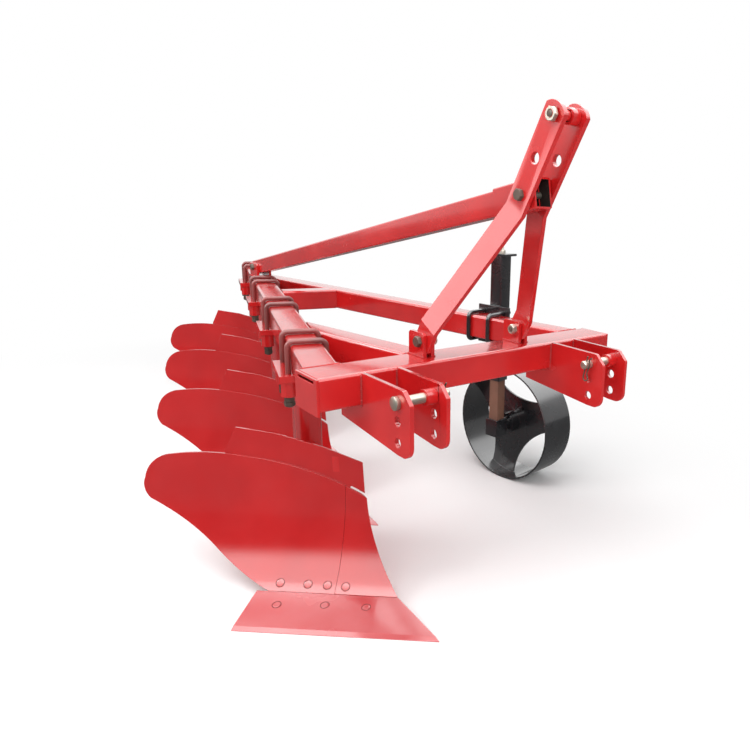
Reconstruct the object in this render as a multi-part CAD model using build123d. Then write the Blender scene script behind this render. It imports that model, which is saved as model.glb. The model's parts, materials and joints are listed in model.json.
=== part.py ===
from build123d import *
import os
from math import cos, radians, sin, tan

# A mounted four-bottom mouldboard plough, in millimetres.
# While it is laid out, X runs across the plough to the unploughed side, travel is along -Y, and the
# tops of all frame tubes lie at z = 0. Everything is moved to the middle of the footprint at the end.

# Frame tubes
TUBE_HEIGHT = 75.0
TUBE_WALL = 7.0
TUBE_CORNER = 9.0
CROSS_LENGTH = 918.0
CROSS_DEPTH = 106.0
MAIN_WIDTH = 80.0
MAIN_TURN = 16.3        # degrees from straight back, towards the unploughed side
MAIN_INSET = 19.0       # from the end of the cross beam to the main beam, at the joint
MAIN_TAIL = 108.0       # main beam behind the last bottom's station
BRACE_WIDTH = 70.0      # side beam, inner brace and cross tie are one size of tube
SIDE_TURN = -10.4
SIDE_INSET = 33.0
INNER_INSET = 273.0
TIE_TURN = 100.3
TIE_BACK = 1233.0       # middle of the cross tie behind the cross beam's front, at the main beam
END_PLATE = 6.0
END_PLATE_TOP = -1.0
END_SLOT_LENGTH = 78.0  # slot in the end plate, just under the tube's top wall
END_SLOT_HEIGHT = 6.0
END_PLATE_LIP = 8.0

# Clearances
SEAT = 0.3              # between pieces that bear on each other
PIN_PLAY = 0.1          # round a pin in its hole

# Lower hitch
HITCH_1_FACE = 102.0    # the plates' faces nearest the right-hand end plate
HITCH_2_FACE = 190.0
HITCH_3_FACE = 678.0
HITCH_4_FACE = 767.0
HITCH_PLATE = 10.0
HITCH_REACH = 193.0
HITCH_HOLE_BACK = 146.0
HITCH_HOLE_DROPS = (30.0, 70.0, 116.0)
HITCH_DEPTH = 143.0
HITCH_TAIL_DEPTH = 122.0
HITCH_TAIL_INSET = 7.0
HITCH_NOSE_CHAMFER = 26.0
HITCH_NOSE_ROUND = 10.0
HITCH_CHIN_ROUND = 27.0
HITCH_CHIN_BACK = 146.0
LOWER_PIN = 22.0
PIN_HEAD = 34.0
PIN_HEAD_LENGTH = 10.0
PIN_TAIL = 26.0
BUSH_OUTER = 36.0
BUSH_LENGTH = 20.0

# Mast, lugs and top strut
MAST_MIDDLE = 453.0
MAST_FOOT_SPREAD = 152.0
MAST_BAR = 12.0
MAST_WIDTH = 62.0
MAST_FOOT_BACK = 57.0
MAST_FOOT_HEIGHT = 38.0
MAST_LEAN = 29.6
MAST_FOLD_LOW = 42.0    # along the bar, from the foot bolt
MAST_FOLD_HIGH = 368.0
MAST_STRUT_BOLT = 406.0
MAST_SPARE_HOLE = 494.0
MAST_TOP_HOLE = 594.0
MAST_TOP = 620.0
MAST_FOOT_END = 26.0
MAST_TOP_ARC = 42.0
MAST_FOOT_ROUND = 16.0
MAST_PIN = 25.4
MAST_BOLT = 16.0
LUG_PLATE = 10.0
LUG_HEIGHT = 60.0
LUG_FRONT = 38.0
LUG_LENGTH = 64.0
LUG_CHAMFER = 6.0
STRUT_WIDTH = 40.0
STRUT_HEIGHT = 60.0
STRUT_WALL = 4.0
STRUT_CORNER = 6.0
SLEEVE_WALL = 4.0
SLEEVE_LENGTH = 148.0
SLEEVE_AHEAD = 34.0
STRUT_BEAM_STATION = 1762.0   # along the main beam, from its front, to the strut's rear bolt
STRUT_BOLT_HEIGHT = 40.0
STRUT_OVERRUN = 42.0
STRUT_LUG_LENGTH = 90.0
STRUT_LUG_HEIGHT = 56.0

# Plough bottoms. Stations are distances along the main beam.
BOTTOM_COUNT = 4
FIRST_STATION = 400.0
STATION_STEP = 592.0
FLOOR_DEPTH = 618.0     # from the tubes' tops down to the furrow floor
NOSE_ACROSS = 50.0      # share point from the shank's middle, across and ahead
NOSE_AHEAD = 557.0
CUT_ANGLE = 45.2        # cutting edge to the direction of travel
SHARE_LENGTH = 484.0
SHARE_BACK = 128.0      # from the cutting edge to the seam with the mouldboard
SHARE_RISE = 23.0
SHARE_PLATE = 8.0
SHARE_EDGE = 1.5
SHARE_BEVEL = 12.0
SHARE_BEVEL_RISE = 4.6
CURVE_RADIUS = 316.0
CURVE_START = 42.0      # slope of the mouldboard at the seam, and where its bend ends
CURVE_END = 86.0
MOULD_PLATE = 6.0
SHIN_SEAM = 286.0
SEAM_GAP = 0.5
LANDSIDE_PLATE = 12.0
LANDSIDE_HEIGHT = 110.0
LANDSIDE_REAR = 610.0
FROG_PLATE = 12.0
FROG_TOP = 190.0
FROG_REACH = 455.0
WEB_PLATE = 16.0
FOOT_HEIGHT = 148.0
FOOT_PLATE = 12.0
FOOT_MARGIN = 12.0
SHANK_DEPTH = 80.0
SHANK_WIDTH = 60.0
SHANK_WALL = 8.0
SHANK_CORNER = 20.0
STAY_HEIGHT = 40.0
STAY_PLATE = 12.0
WING_STAY_RISE = 215.0
TRASH_STAY_RISE = 300.0

# Clamp of each bottom on the main beam
CLAMP_BOLT = 14.0
CLAMP_PITCH = 126.0     # between the two U-bolts of a pair
CLAMP_PLATE = 18.0
CLAMP_MARGIN = 24.0
CLAMP_BOSS = 38.0
CLAMP_BOSS_DROP = 40.0
CLAMP_TAIL = 30.0
CLAMP_HOLE_PLAY = 0.5

# Gauge wheel
WHEEL_STATION = 320.0   # along the side beam, from the cross beam's rear face
WHEEL_RADIUS = 206.0
WHEEL_WIDTH = 138.0
WHEEL_RIM = 6.0
WHEEL_DISC = 8.0
WHEEL_TOE = 7.0
WHEEL_DISC_INSET = 56.0 # from the rim's edge by the leg
WHEEL_CUTOUTS = 3
WHEEL_CUTOUT_TURN = 12.0 # of the first one, from straight up towards the front
WHEEL_CUTOUT_ROUND = 250.0
WHEEL_CUTOUT_NEAR = 100.0 # its nearest point to the axle
HUB_DIAMETER = 76.0
HUB_LENGTH = 104.0
AXLE = 30.0
AXLE_SHOULDER = 48.0
LEG_TUBE = 50.0
LEG_TUBE_WALL = 5.0
LEG_TUBE_TOP = 195.0
LEG_TUBE_BOTTOM = -237.0
LEG_BAR = 39.0
LEG_BAR_CORNER = 2.5
LEG_BAR_INSIDE = 290.0
LEG_CAP = 8.0
LEG_CAP_LIP = 12.0
SCREW = 20.0
SCREW_STUB = 30.0
SCREW_LENGTH = 230.0
SCREW_NUT = 32.0
SCREW_NUT_HEIGHT = 14.0
WHEEL_GAP = 6.0         # between the leg tube and the rim
WHEEL_CLAMP_PLATE = 8.0
WHEEL_CLAMP_HALF = 66.0
WHEEL_CLAMP_RISE = 28.0
WHEEL_CLAMP_PITCH = 84.0
WHEEL_CLAMP_TAIL = 26.0
BRACKET_HEIGHT = 62.0
BRACKET_SIDE = 53.0
PIN_SIDES = 12          # round bars that fill their holes have this many flats
BOSS_SIDES = 8
BEND_STEPS = 3

BEAM_BOTTOM = -TUBE_HEIGHT
FLOOR = -FLOOR_DEPTH


def heading(turn):
    """Unit vector that runs straight back, turned towards +X by so many degrees."""
    return Vector(sin(radians(turn)), cos(radians(turn)), 0)


def right_of(turn):
    """Unit vector square to heading(turn), on its +X side."""
    return Vector(cos(radians(turn)), -sin(radians(turn)), 0)


def hollow(width, height, wall, corner):
    """Section of a rectangular tube."""
    return RectangleRounded(width, height, corner) - Rectangle(width - 2 * wall, height - 2 * wall)


def frame_tube(front, turn, width, length):
    """Frame tube whose centre line starts at front, with its top at z = 0."""
    middle = front + Vector(0, 0, -TUBE_HEIGHT / 2)
    place = Plane(origin=middle, x_dir=right_of(turn), z_dir=heading(turn))
    return extrude(place * hollow(width, TUBE_HEIGHT, TUBE_WALL, TUBE_CORNER), amount=length)


def keep_side(solid, point, normal):
    """The part of a solid on the side of a plane that its normal points to."""
    return split(solid, bisect_by=Plane(origin=point, z_dir=normal), keep=Keep.TOP)


def block(x0, x1, y0, y1, z0, z1):
    """Box between two corners."""
    middle = Vector((x0 + x1) / 2, (y0 + y1) / 2, (z0 + z1) / 2)
    return Pos(middle) * Box(x1 - x0, y1 - y0, z1 - z0)


def bar_section(diameter):
    """Section of a round bar, drawn with flats."""
    return RegularPolygon(diameter / 2, PIN_SIDES)


def rod_x(x0, x1, y, z, section):
    """Bar of this section across the plough, from x0 to x1."""
    place = Plane(origin=(x0, y, z), x_dir=(0, 1, 0), z_dir=(1, 0, 0))
    return extrude(place * section, amount=x1 - x0)


pieces = {}

# Main frame: the cross beam, the slanted main beam that carries the bottoms, the side beam that
# carries the wheel, and the two short tubes between them.
cross_rear = CROSS_DEPTH
cross_middle = Vector(END_PLATE, CROSS_DEPTH / 2, -TUBE_HEIGHT / 2)
cross_section = Plane(origin=cross_middle, x_dir=(0, 1, 0), z_dir=(1, 0, 0))
pieces["cross_beam"] = extrude(
    cross_section * hollow(CROSS_DEPTH, TUBE_HEIGHT, TUBE_WALL, TUBE_CORNER),
    amount=CROSS_LENGTH - 2 * END_PLATE,
)
end_plates = []
slot_ends = ((CROSS_DEPTH - END_SLOT_LENGTH) / 2, (CROSS_DEPTH + END_SLOT_LENGTH) / 2)
slot_low = -TUBE_WALL - END_SLOT_HEIGHT
for x in (0, CROSS_LENGTH - END_PLATE):
    end_plate = block(x, x + END_PLATE, 0, CROSS_DEPTH, BEAM_BOTTOM - END_PLATE_LIP, END_PLATE_TOP)
    end_plates.append(end_plate - block(x, x + END_PLATE, *slot_ends, slot_low, -TUBE_WALL))
pieces["cross_beam_end_plates"] = Compound(children=end_plates)

main_back = heading(MAIN_TURN)
main_right = right_of(MAIN_TURN)
side_back = heading(SIDE_TURN)
side_right = right_of(SIDE_TURN)


def start_behind_cross(edge_x, turn, width):
    """Point on a tube's centre line, from where its -X edge leaves the cross beam's rear face."""
    return Vector(edge_x, cross_rear, 0) + right_of(turn) * (width / 2)


def butted(front, turn, width, length):
    """Frame tube cut off along the cross beam's rear face."""
    overrun = width
    tube = frame_tube(front - heading(turn) * overrun, turn, width, length + overrun)
    return keep_side(tube, (0, cross_rear, 0), (0, 1, 0))


main_front = start_behind_cross(MAIN_INSET, MAIN_TURN, MAIN_WIDTH)
beam_zero = main_front - main_back * (main_front.Y / main_back.Y)
last_station = FIRST_STATION + (BOTTOM_COUNT - 1) * STATION_STEP
main_length = last_station + MAIN_TAIL - (main_front - beam_zero).length
pieces["main_beam"] = butted(main_front, MAIN_TURN, MAIN_WIDTH, main_length)
main_right_face = main_front + main_right * (MAIN_WIDTH / 2)

side_edge = CROSS_LENGTH - SIDE_INSET - BRACE_WIDTH / cos(radians(SIDE_TURN))
side_front = start_behind_cross(side_edge, SIDE_TURN, BRACE_WIDTH)
inner_front = start_behind_cross(INNER_INSET, SIDE_TURN, BRACE_WIDTH)
for name, front in (("side_beam", side_front), ("inner_brace", inner_front)):
    long_tube = butted(front, SIDE_TURN, BRACE_WIDTH, main_length)
    pieces[name] = keep_side(long_tube, main_right_face, main_right)

tie_front = main_right_face + main_back * ((TIE_BACK - main_right_face.Y) / main_back.Y)
tie_start = tie_front - heading(TIE_TURN) * BRACE_WIDTH
tie_tube = frame_tube(tie_start, TIE_TURN, BRACE_WIDTH, CROSS_LENGTH)
tie_tube = keep_side(tie_tube, main_right_face, main_right)
side_left_face = side_front - side_right * (BRACE_WIDTH / 2)
pieces["cross_tie"] = keep_side(tie_tube, side_left_face, -side_right)


def hitch_outline():
    """Side view of a hitch plate as (back, height): it lies on the cross beam's front and underside."""
    tail_back = CROSS_DEPTH - HITCH_TAIL_INSET
    corners = (
        (0, 0),
        (HITCH_NOSE_CHAMFER - HITCH_REACH, 0),
        (-HITCH_REACH, -HITCH_NOSE_CHAMFER),
        (-HITCH_REACH, -HITCH_DEPTH),
        (-HITCH_CHIN_BACK, -HITCH_DEPTH),
        (tail_back, -HITCH_TAIL_DEPTH),
        (tail_back, BEAM_BOTTOM),
        (0, BEAM_BOTTOM),
    )
    plate = make_face(Polyline(*corners, close=True))
    for corner, round_off in ((1, HITCH_NOSE_ROUND), (2, HITCH_NOSE_ROUND), (3, HITCH_CHIN_ROUND)):
        spot = Vector(*corners[corner])
        plate = fillet(plate.vertices().sort_by_distance(spot)[0], round_off)
    return plate


hitch_face = hitch_outline()
hitch_faces = (HITCH_1_FACE, HITCH_2_FACE, HITCH_3_FACE, HITCH_4_FACE)
for index, near_x in enumerate(hitch_faces, start=1):
    place = Plane(origin=(near_x, 0, 0), x_dir=(0, 1, 0), z_dir=(1, 0, 0))
    plate = extrude(place * hitch_face, amount=HITCH_PLATE)
    for drop in HITCH_HOLE_DROPS:
        hole = LOWER_PIN + 2 * PIN_PLAY
        section = bar_section(hole) if drop == HITCH_HOLE_DROPS[0] else Circle(hole / 2)
        plate -= rod_x(near_x - 1, near_x + HITCH_PLATE + 1, -HITCH_HOLE_BACK, -drop, section)
    pieces[f"hitch_plate_{index}"] = plate


def hitch_pin(head_face, tail_face, bush_face):
    """Pin through the top holes, with its head, its grooved tail and the bush on it between the plates."""
    outward = 1 if head_face > tail_face else -1
    y, z = -HITCH_HOLE_BACK, -HITCH_HOLE_DROPS[0]
    ends = sorted((head_face, tail_face - outward * PIN_TAIL))
    pin = rod_x(ends[0], ends[1], y, z, bar_section(LOWER_PIN))
    head_ends = sorted((head_face, head_face + outward * PIN_HEAD_LENGTH))
    pin += rod_x(head_ends[0], head_ends[1], y, z, bar_section(PIN_HEAD))
    bush_section = bar_section(BUSH_OUTER) - bar_section(LOWER_PIN + 2 * PIN_PLAY)
    bush = rod_x(bush_face - BUSH_LENGTH, bush_face, y, z, bush_section)
    return pin, bush


right_pin, right_bush = hitch_pin(HITCH_1_FACE, HITCH_2_FACE + HITCH_PLATE, HITCH_2_FACE)
left_pin, left_bush = hitch_pin(HITCH_4_FACE + HITCH_PLATE, HITCH_3_FACE, HITCH_4_FACE)
pieces["hitch_pin_right"] = right_pin
pieces["hitch_pin_left"] = left_pin
pieces["hitch_bushes"] = Compound(children=[right_bush, left_bush])

# Mast: two flat bars, folded so that they stand close together above and wide apart at the lugs.
mast_up = Vector(0, -sin(radians(MAST_LEAN)), cos(radians(MAST_LEAN)))
mast_back = Vector(0, cos(radians(MAST_LEAN)), sin(radians(MAST_LEAN)))
mast_foot = Vector(MAST_MIDDLE, MAST_FOOT_BACK, MAST_FOOT_HEIGHT)
sleeve_width = STRUT_WIDTH + 2 * SLEEVE_WALL + 2 * SEAT
sleeve_height = STRUT_HEIGHT + 2 * SLEEVE_WALL + 2 * SEAT
strut_front = mast_foot + mast_up * MAST_STRUT_BOLT
strut_rear = beam_zero + main_back * STRUT_BEAM_STATION + Vector(0, 0, STRUT_BOLT_HEIGHT)
strut_run = strut_rear - strut_front
strut_dir = strut_run.normalized()
sleeve_skew = abs(strut_dir.X / strut_dir.Y) * MAST_WIDTH
mast_top_spread = sleeve_width / 2 + sleeve_skew + SEAT + MAST_BAR / 2


def mast_bar(side):
    """One folded bar of the mast with its four holes."""
    spine = (
        (-MAST_FOOT_END, MAST_FOOT_SPREAD),
        (MAST_FOLD_LOW, MAST_FOOT_SPREAD),
        (MAST_FOLD_HIGH, mast_top_spread),
        (MAST_TOP, mast_top_spread),
    )
    half = MAST_BAR / 2
    inner = [(along, spread - half) for along, spread in spine]
    outer = [(along, spread + half) for along, spread in reversed(spine)]
    place = Plane(origin=mast_foot - mast_back * (MAST_WIDTH / 2), x_dir=mast_up, z_dir=mast_back)
    flip = side if place.y_dir.X > 0 else -side
    corners = [(along, flip * spread) for along, spread in inner + outer]
    bar = extrude(place * make_face(Polyline(*corners, close=True)), amount=MAST_WIDTH)
    across = bar.edges().filter_by(Axis.X)
    at_foot = [edge for edge in across if abs((edge.center() - mast_foot).dot(mast_up) + MAST_FOOT_END) < 1]
    bar = fillet(at_foot, MAST_FOOT_ROUND)
    arc_middle = MAST_TOP - MAST_TOP_ARC
    below = Pos(0, (arc_middle - MAST_FOOT_END) / 2) * Rectangle(2 * MAST_WIDTH, arc_middle + MAST_FOOT_END)
    side_view = Plane(origin=mast_foot, x_dir=mast_back, z_dir=(1, 0, 0))
    outline = below + Pos(0, arc_middle) * Circle(MAST_TOP_ARC)
    bar &= extrude(side_view * outline, amount=CROSS_LENGTH, both=True)
    holes = (
        (0, bar_section(MAST_BOLT + 2 * PIN_PLAY)),
        (MAST_STRUT_BOLT, bar_section(MAST_BOLT + 2 * PIN_PLAY)),
        (MAST_SPARE_HOLE, Circle(MAST_PIN / 2 + PIN_PLAY)),
        (MAST_TOP_HOLE, bar_section(MAST_PIN + 2 * PIN_PLAY)),
    )
    for along, hole in holes:
        centre = mast_foot + mast_up * along
        reach = MAST_FOOT_SPREAD + MAST_BAR
        ends_x = sorted((MAST_MIDDLE, MAST_MIDDLE + side * reach))
        bar -= rod_x(ends_x[0], ends_x[1], centre.Y, centre.Z, hole)
    return bar


pieces["mast_bar_right"] = mast_bar(-1)
pieces["mast_bar_left"] = mast_bar(1)

top_pin = mast_foot + mast_up * MAST_TOP_HOLE
pin_half = mast_top_spread + MAST_BAR / 2
pin_tail = MAST_MIDDLE - pin_half - PIN_TAIL / 2
pin_shoulder = MAST_MIDDLE + pin_half
mast_pin = rod_x(pin_tail, pin_shoulder, top_pin.Y, top_pin.Z, bar_section(MAST_PIN))
pin_end = pin_shoulder + PIN_HEAD_LENGTH
mast_pin += rod_x(pin_shoulder, pin_end, top_pin.Y, top_pin.Z, bar_section(PIN_HEAD))
pieces["mast_pin"] = mast_pin


def lug_face(length, height, cut):
    """Upright lug as (back, up), with its two upper corners cut off."""
    corners = (
        (0, 0),
        (0, height - cut),
        (cut, height),
        (length - cut, height),
        (length, height - cut),
        (length, 0),
    )
    return make_face(Polyline(*corners, close=True))


lug_gap = MAST_BAR + 2 * SEAT
mast_lugs = []
foot_bolts = []
for side in (-1, 1):
    centre_x = MAST_MIDDLE + side * MAST_FOOT_SPREAD
    for near_x in (centre_x - lug_gap / 2 - LUG_PLATE, centre_x + lug_gap / 2):
        place = Plane(origin=(near_x, LUG_FRONT, 0), x_dir=(0, 1, 0), z_dir=(1, 0, 0))
        lug = extrude(place * lug_face(LUG_LENGTH, LUG_HEIGHT, LUG_CHAMFER), amount=LUG_PLATE)
        hole = bar_section(MAST_BOLT + 2 * PIN_PLAY)
        lug -= rod_x(near_x - 1, near_x + LUG_PLATE + 1, MAST_FOOT_BACK, MAST_FOOT_HEIGHT, hole)
        mast_lugs.append(lug)
    bolt_half = lug_gap / 2 + LUG_PLATE + MAST_BOLT / 2
    bolt_ends = (centre_x - bolt_half, centre_x + bolt_half)
    foot_bolts.append(rod_x(*bolt_ends, MAST_FOOT_BACK, MAST_FOOT_HEIGHT, bar_section(MAST_BOLT)))
pieces["mast_lugs"] = Compound(children=mast_lugs)
pieces["mast_foot_bolts"] = Compound(children=foot_bolts)

# Strut from the mast down to the main beam between the third and fourth bottoms. Its front end is a
# larger open sleeve between the mast bars.
strut_side = Vector(strut_dir.Y, -strut_dir.X, 0).normalized()


def strut_place(distance):
    """Plane square to the strut, at a distance behind its front bolt."""
    return Plane(origin=strut_front + strut_dir * distance, x_dir=strut_side, z_dir=strut_dir)


strut = extrude(
    strut_place(0) * hollow(STRUT_WIDTH, STRUT_HEIGHT, STRUT_WALL, STRUT_CORNER),
    amount=strut_run.length + STRUT_OVERRUN,
)
sleeve_front = strut_place(-SLEEVE_AHEAD)
sleeve = extrude(
    sleeve_front * hollow(sleeve_width, sleeve_height, SLEEVE_WALL + SEAT, STRUT_CORNER),
    amount=SLEEVE_LENGTH,
)
strut_body = strut + sleeve
front_hole_ends = (MAST_MIDDLE - sleeve_width, MAST_MIDDLE + sleeve_width)
bolt_hole = bar_section(MAST_BOLT + 2 * PIN_PLAY)
strut_body -= rod_x(*front_hole_ends, strut_front.Y, strut_front.Z, bolt_hole)
rear_hole_place = Plane(origin=strut_rear - strut_side * sleeve_width, x_dir=(0, 0, 1), z_dir=strut_side)
strut_body -= extrude(rear_hole_place * bolt_hole, amount=2 * sleeve_width)
pieces["strut"] = strut_body

strut_bolts = []
front_half = mast_top_spread + MAST_BAR / 2 + MAST_BOLT / 2
front_ends = (MAST_MIDDLE - front_half, MAST_MIDDLE + front_half)
strut_bolts.append(rod_x(*front_ends, strut_front.Y, strut_front.Z, bar_section(MAST_BOLT)))
rear_half = STRUT_WIDTH / 2 + SEAT + LUG_PLATE + MAST_BOLT / 2
rear_bolt_place = Plane(origin=strut_rear - strut_side * rear_half, x_dir=(0, 0, 1), z_dir=strut_side)
strut_bolts.append(extrude(rear_bolt_place * bar_section(MAST_BOLT), amount=2 * rear_half))
pieces["strut_bolts"] = Compound(children=strut_bolts)

strut_level = Vector(strut_dir.X, strut_dir.Y, 0).normalized()
rear_lugs = []
for offset in (-STRUT_WIDTH / 2 - SEAT - LUG_PLATE, STRUT_WIDTH / 2 + SEAT):
    below_bolt = Vector(strut_rear.X, strut_rear.Y, 0)
    start = below_bolt + strut_side * offset - strut_level * (STRUT_LUG_LENGTH / 2)
    place = Plane(origin=start, x_dir=strut_level, z_dir=strut_level.cross(Vector(0, 0, 1)))
    lug = extrude(place * lug_face(STRUT_LUG_LENGTH, STRUT_LUG_HEIGHT, LUG_CHAMFER), amount=LUG_PLATE)
    hole_place = Plane(origin=strut_rear - strut_side * rear_half * 2, x_dir=(0, 0, 1), z_dir=strut_side)
    lug -= extrude(hole_place * bolt_hole, amount=4 * rear_half)
    rear_lugs.append(lug)
pieces["strut_lugs"] = Compound(children=rear_lugs)

# Plough bottoms. The working face is one curve, swept straight along the cutting edge, so each plate
# is a slice of that sheet cut to its own outline. "In" is square to the cutting edge, "along" follows
# it to the wing, and rise is measured from the furrow floor.
edge_along = Vector(-sin(radians(CUT_ANGLE)), cos(radians(CUT_ANGLE)), 0)
edge_in = Vector(cos(radians(CUT_ANGLE)), sin(radians(CUT_ANGLE)), 0)
start_slope = radians(CURVE_START)
end_slope = radians(CURVE_END)
curve_centre = (SHARE_BACK - CURVE_RADIUS * sin(start_slope), SHARE_RISE + CURVE_RADIUS * cos(start_slope))
SHEET_REACH = 900.0     # longer than any plate, both along the edge and up the curve


def on_curve(offset, slope):
    """Point of the working curve's bend, offset behind the face, where it has this slope."""
    radius = CURVE_RADIUS + offset
    return (curve_centre[0] + radius * sin(slope), curve_centre[1] - radius * cos(slope))


def past_curve(offset, length):
    """Point of the straight stretch above the bend."""
    x, y = on_curve(offset, end_slope)
    return (x + length * cos(end_slope), y + length * sin(end_slope))


def bend(offset):
    """The bend's arc, from the seam upwards."""
    arc_size = CURVE_END - CURVE_START
    return CenterArc(curve_centre, CURVE_RADIUS + offset, CURVE_START - 90, arc_size)


def sheet_face(front, back):
    """Slice of the sheet between two offsets behind the working face."""
    top = SHEET_REACH / 2
    sides = [
        bend(front),
        Line(on_curve(front, end_slope), past_curve(front, top)),
        Line(past_curve(front, top), past_curve(back, top)),
        Line(past_curve(back, top), on_curve(back, end_slope)),
        bend(back),
        Line(on_curve(back, start_slope), on_curve(front, start_slope)),
    ]
    return make_face(sides)


share_slope = (SHARE_RISE - SHARE_EDGE - SHARE_BEVEL_RISE) / (SHARE_BACK - SHARE_BEVEL)
share_drop = SHARE_PLATE * (1 + share_slope**2) ** 0.5
share_back_in = SHARE_BACK - SEAM_GAP


def share_top(distance):
    """Rise of the share's upper face."""
    return SHARE_EDGE + SHARE_BEVEL_RISE + share_slope * (distance - SHARE_BEVEL)


share_ground_in = SHARE_BEVEL + (share_drop - SHARE_EDGE - SHARE_BEVEL_RISE) / share_slope
share_heel = (share_back_in + SHARE_PLATE * share_slope, share_top(share_back_in) - SHARE_PLATE)


def share_face():
    """Section of the share: ground flat under its edge, bevelled on top."""
    return make_face(
        Polyline(
            (0, 0),
            (0, SHARE_EDGE),
            (SHARE_BEVEL, SHARE_EDGE + SHARE_BEVEL_RISE),
            (share_back_in, share_top(share_back_in)),
            share_heel,
            (share_ground_in, 0),
            close=True,
        )
    )


def soil_side_face():
    """Everything in front of the plates' backs, to trim what stands behind them."""
    offset = MOULD_PLATE + SEAT
    top = SHEET_REACH / 2
    far = -SHEET_REACH / 2
    sides = [
        bend(offset),
        Line(on_curve(offset, end_slope), past_curve(offset, top)),
        Line(past_curve(offset, top), (far, top)),
        Line((far, top), (far, far)),
        Line((far, far), (share_ground_in, far)),
        Line((share_ground_in, far), (share_ground_in, -SEAT)),
        Line((share_ground_in, -SEAT), (share_heel[0] + SEAT, share_heel[1] - SEAT)),
        Line((share_heel[0] + SEAT, share_heel[1] - SEAT), on_curve(offset, start_slope)),
    ]
    return make_face(sides)


def frog_face():
    """Section of the frog's face plate before it is trimmed to the plates that it carries."""
    ring = Pos(*curve_centre) * Circle(CURVE_RADIUS + MOULD_PLATE + SEAT + FROG_PLATE)
    band = Pos(0, (FROG_TOP + 1) / 2) * Rectangle(SHEET_REACH, FROG_TOP - 1)
    return ring & band


def mould_outline():
    """Outline of mouldboard and shin together, as (along, rise)."""
    shin_foot = (SHARE_BACK / 1.2, SHARE_RISE - 2)
    shin_top = (228, 236)
    tail_top = (803, 262)
    tail_foot = (790, 207)
    sides = [
        Line(shin_foot, shin_top),
        ThreePointArc(shin_top, (378, 300), (540, 331)),
        ThreePointArc((540, 331), (640, 337), (733, 328)),
        ThreePointArc((733, 328), (783, 303), tail_top),
        ThreePointArc(tail_top, (806, 233), tail_foot),
        ThreePointArc(tail_foot, (690, 153), (600, 93)),
        ThreePointArc((600, 93), (520, 48), (451, SHARE_RISE - 2)),
        Line((451, SHARE_RISE - 2), shin_foot),
    ]
    return make_face(sides)


def trash_outline():
    """Outline of the trashboard as (along, rise), above the mouldboard's top edge."""
    corners = ((597, 342), (569, 405), (466, 394), (344, 364), (237, 329), (229, 246), (378, 306), (500, 333))
    return make_face(Polyline(*corners, close=True))


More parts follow.
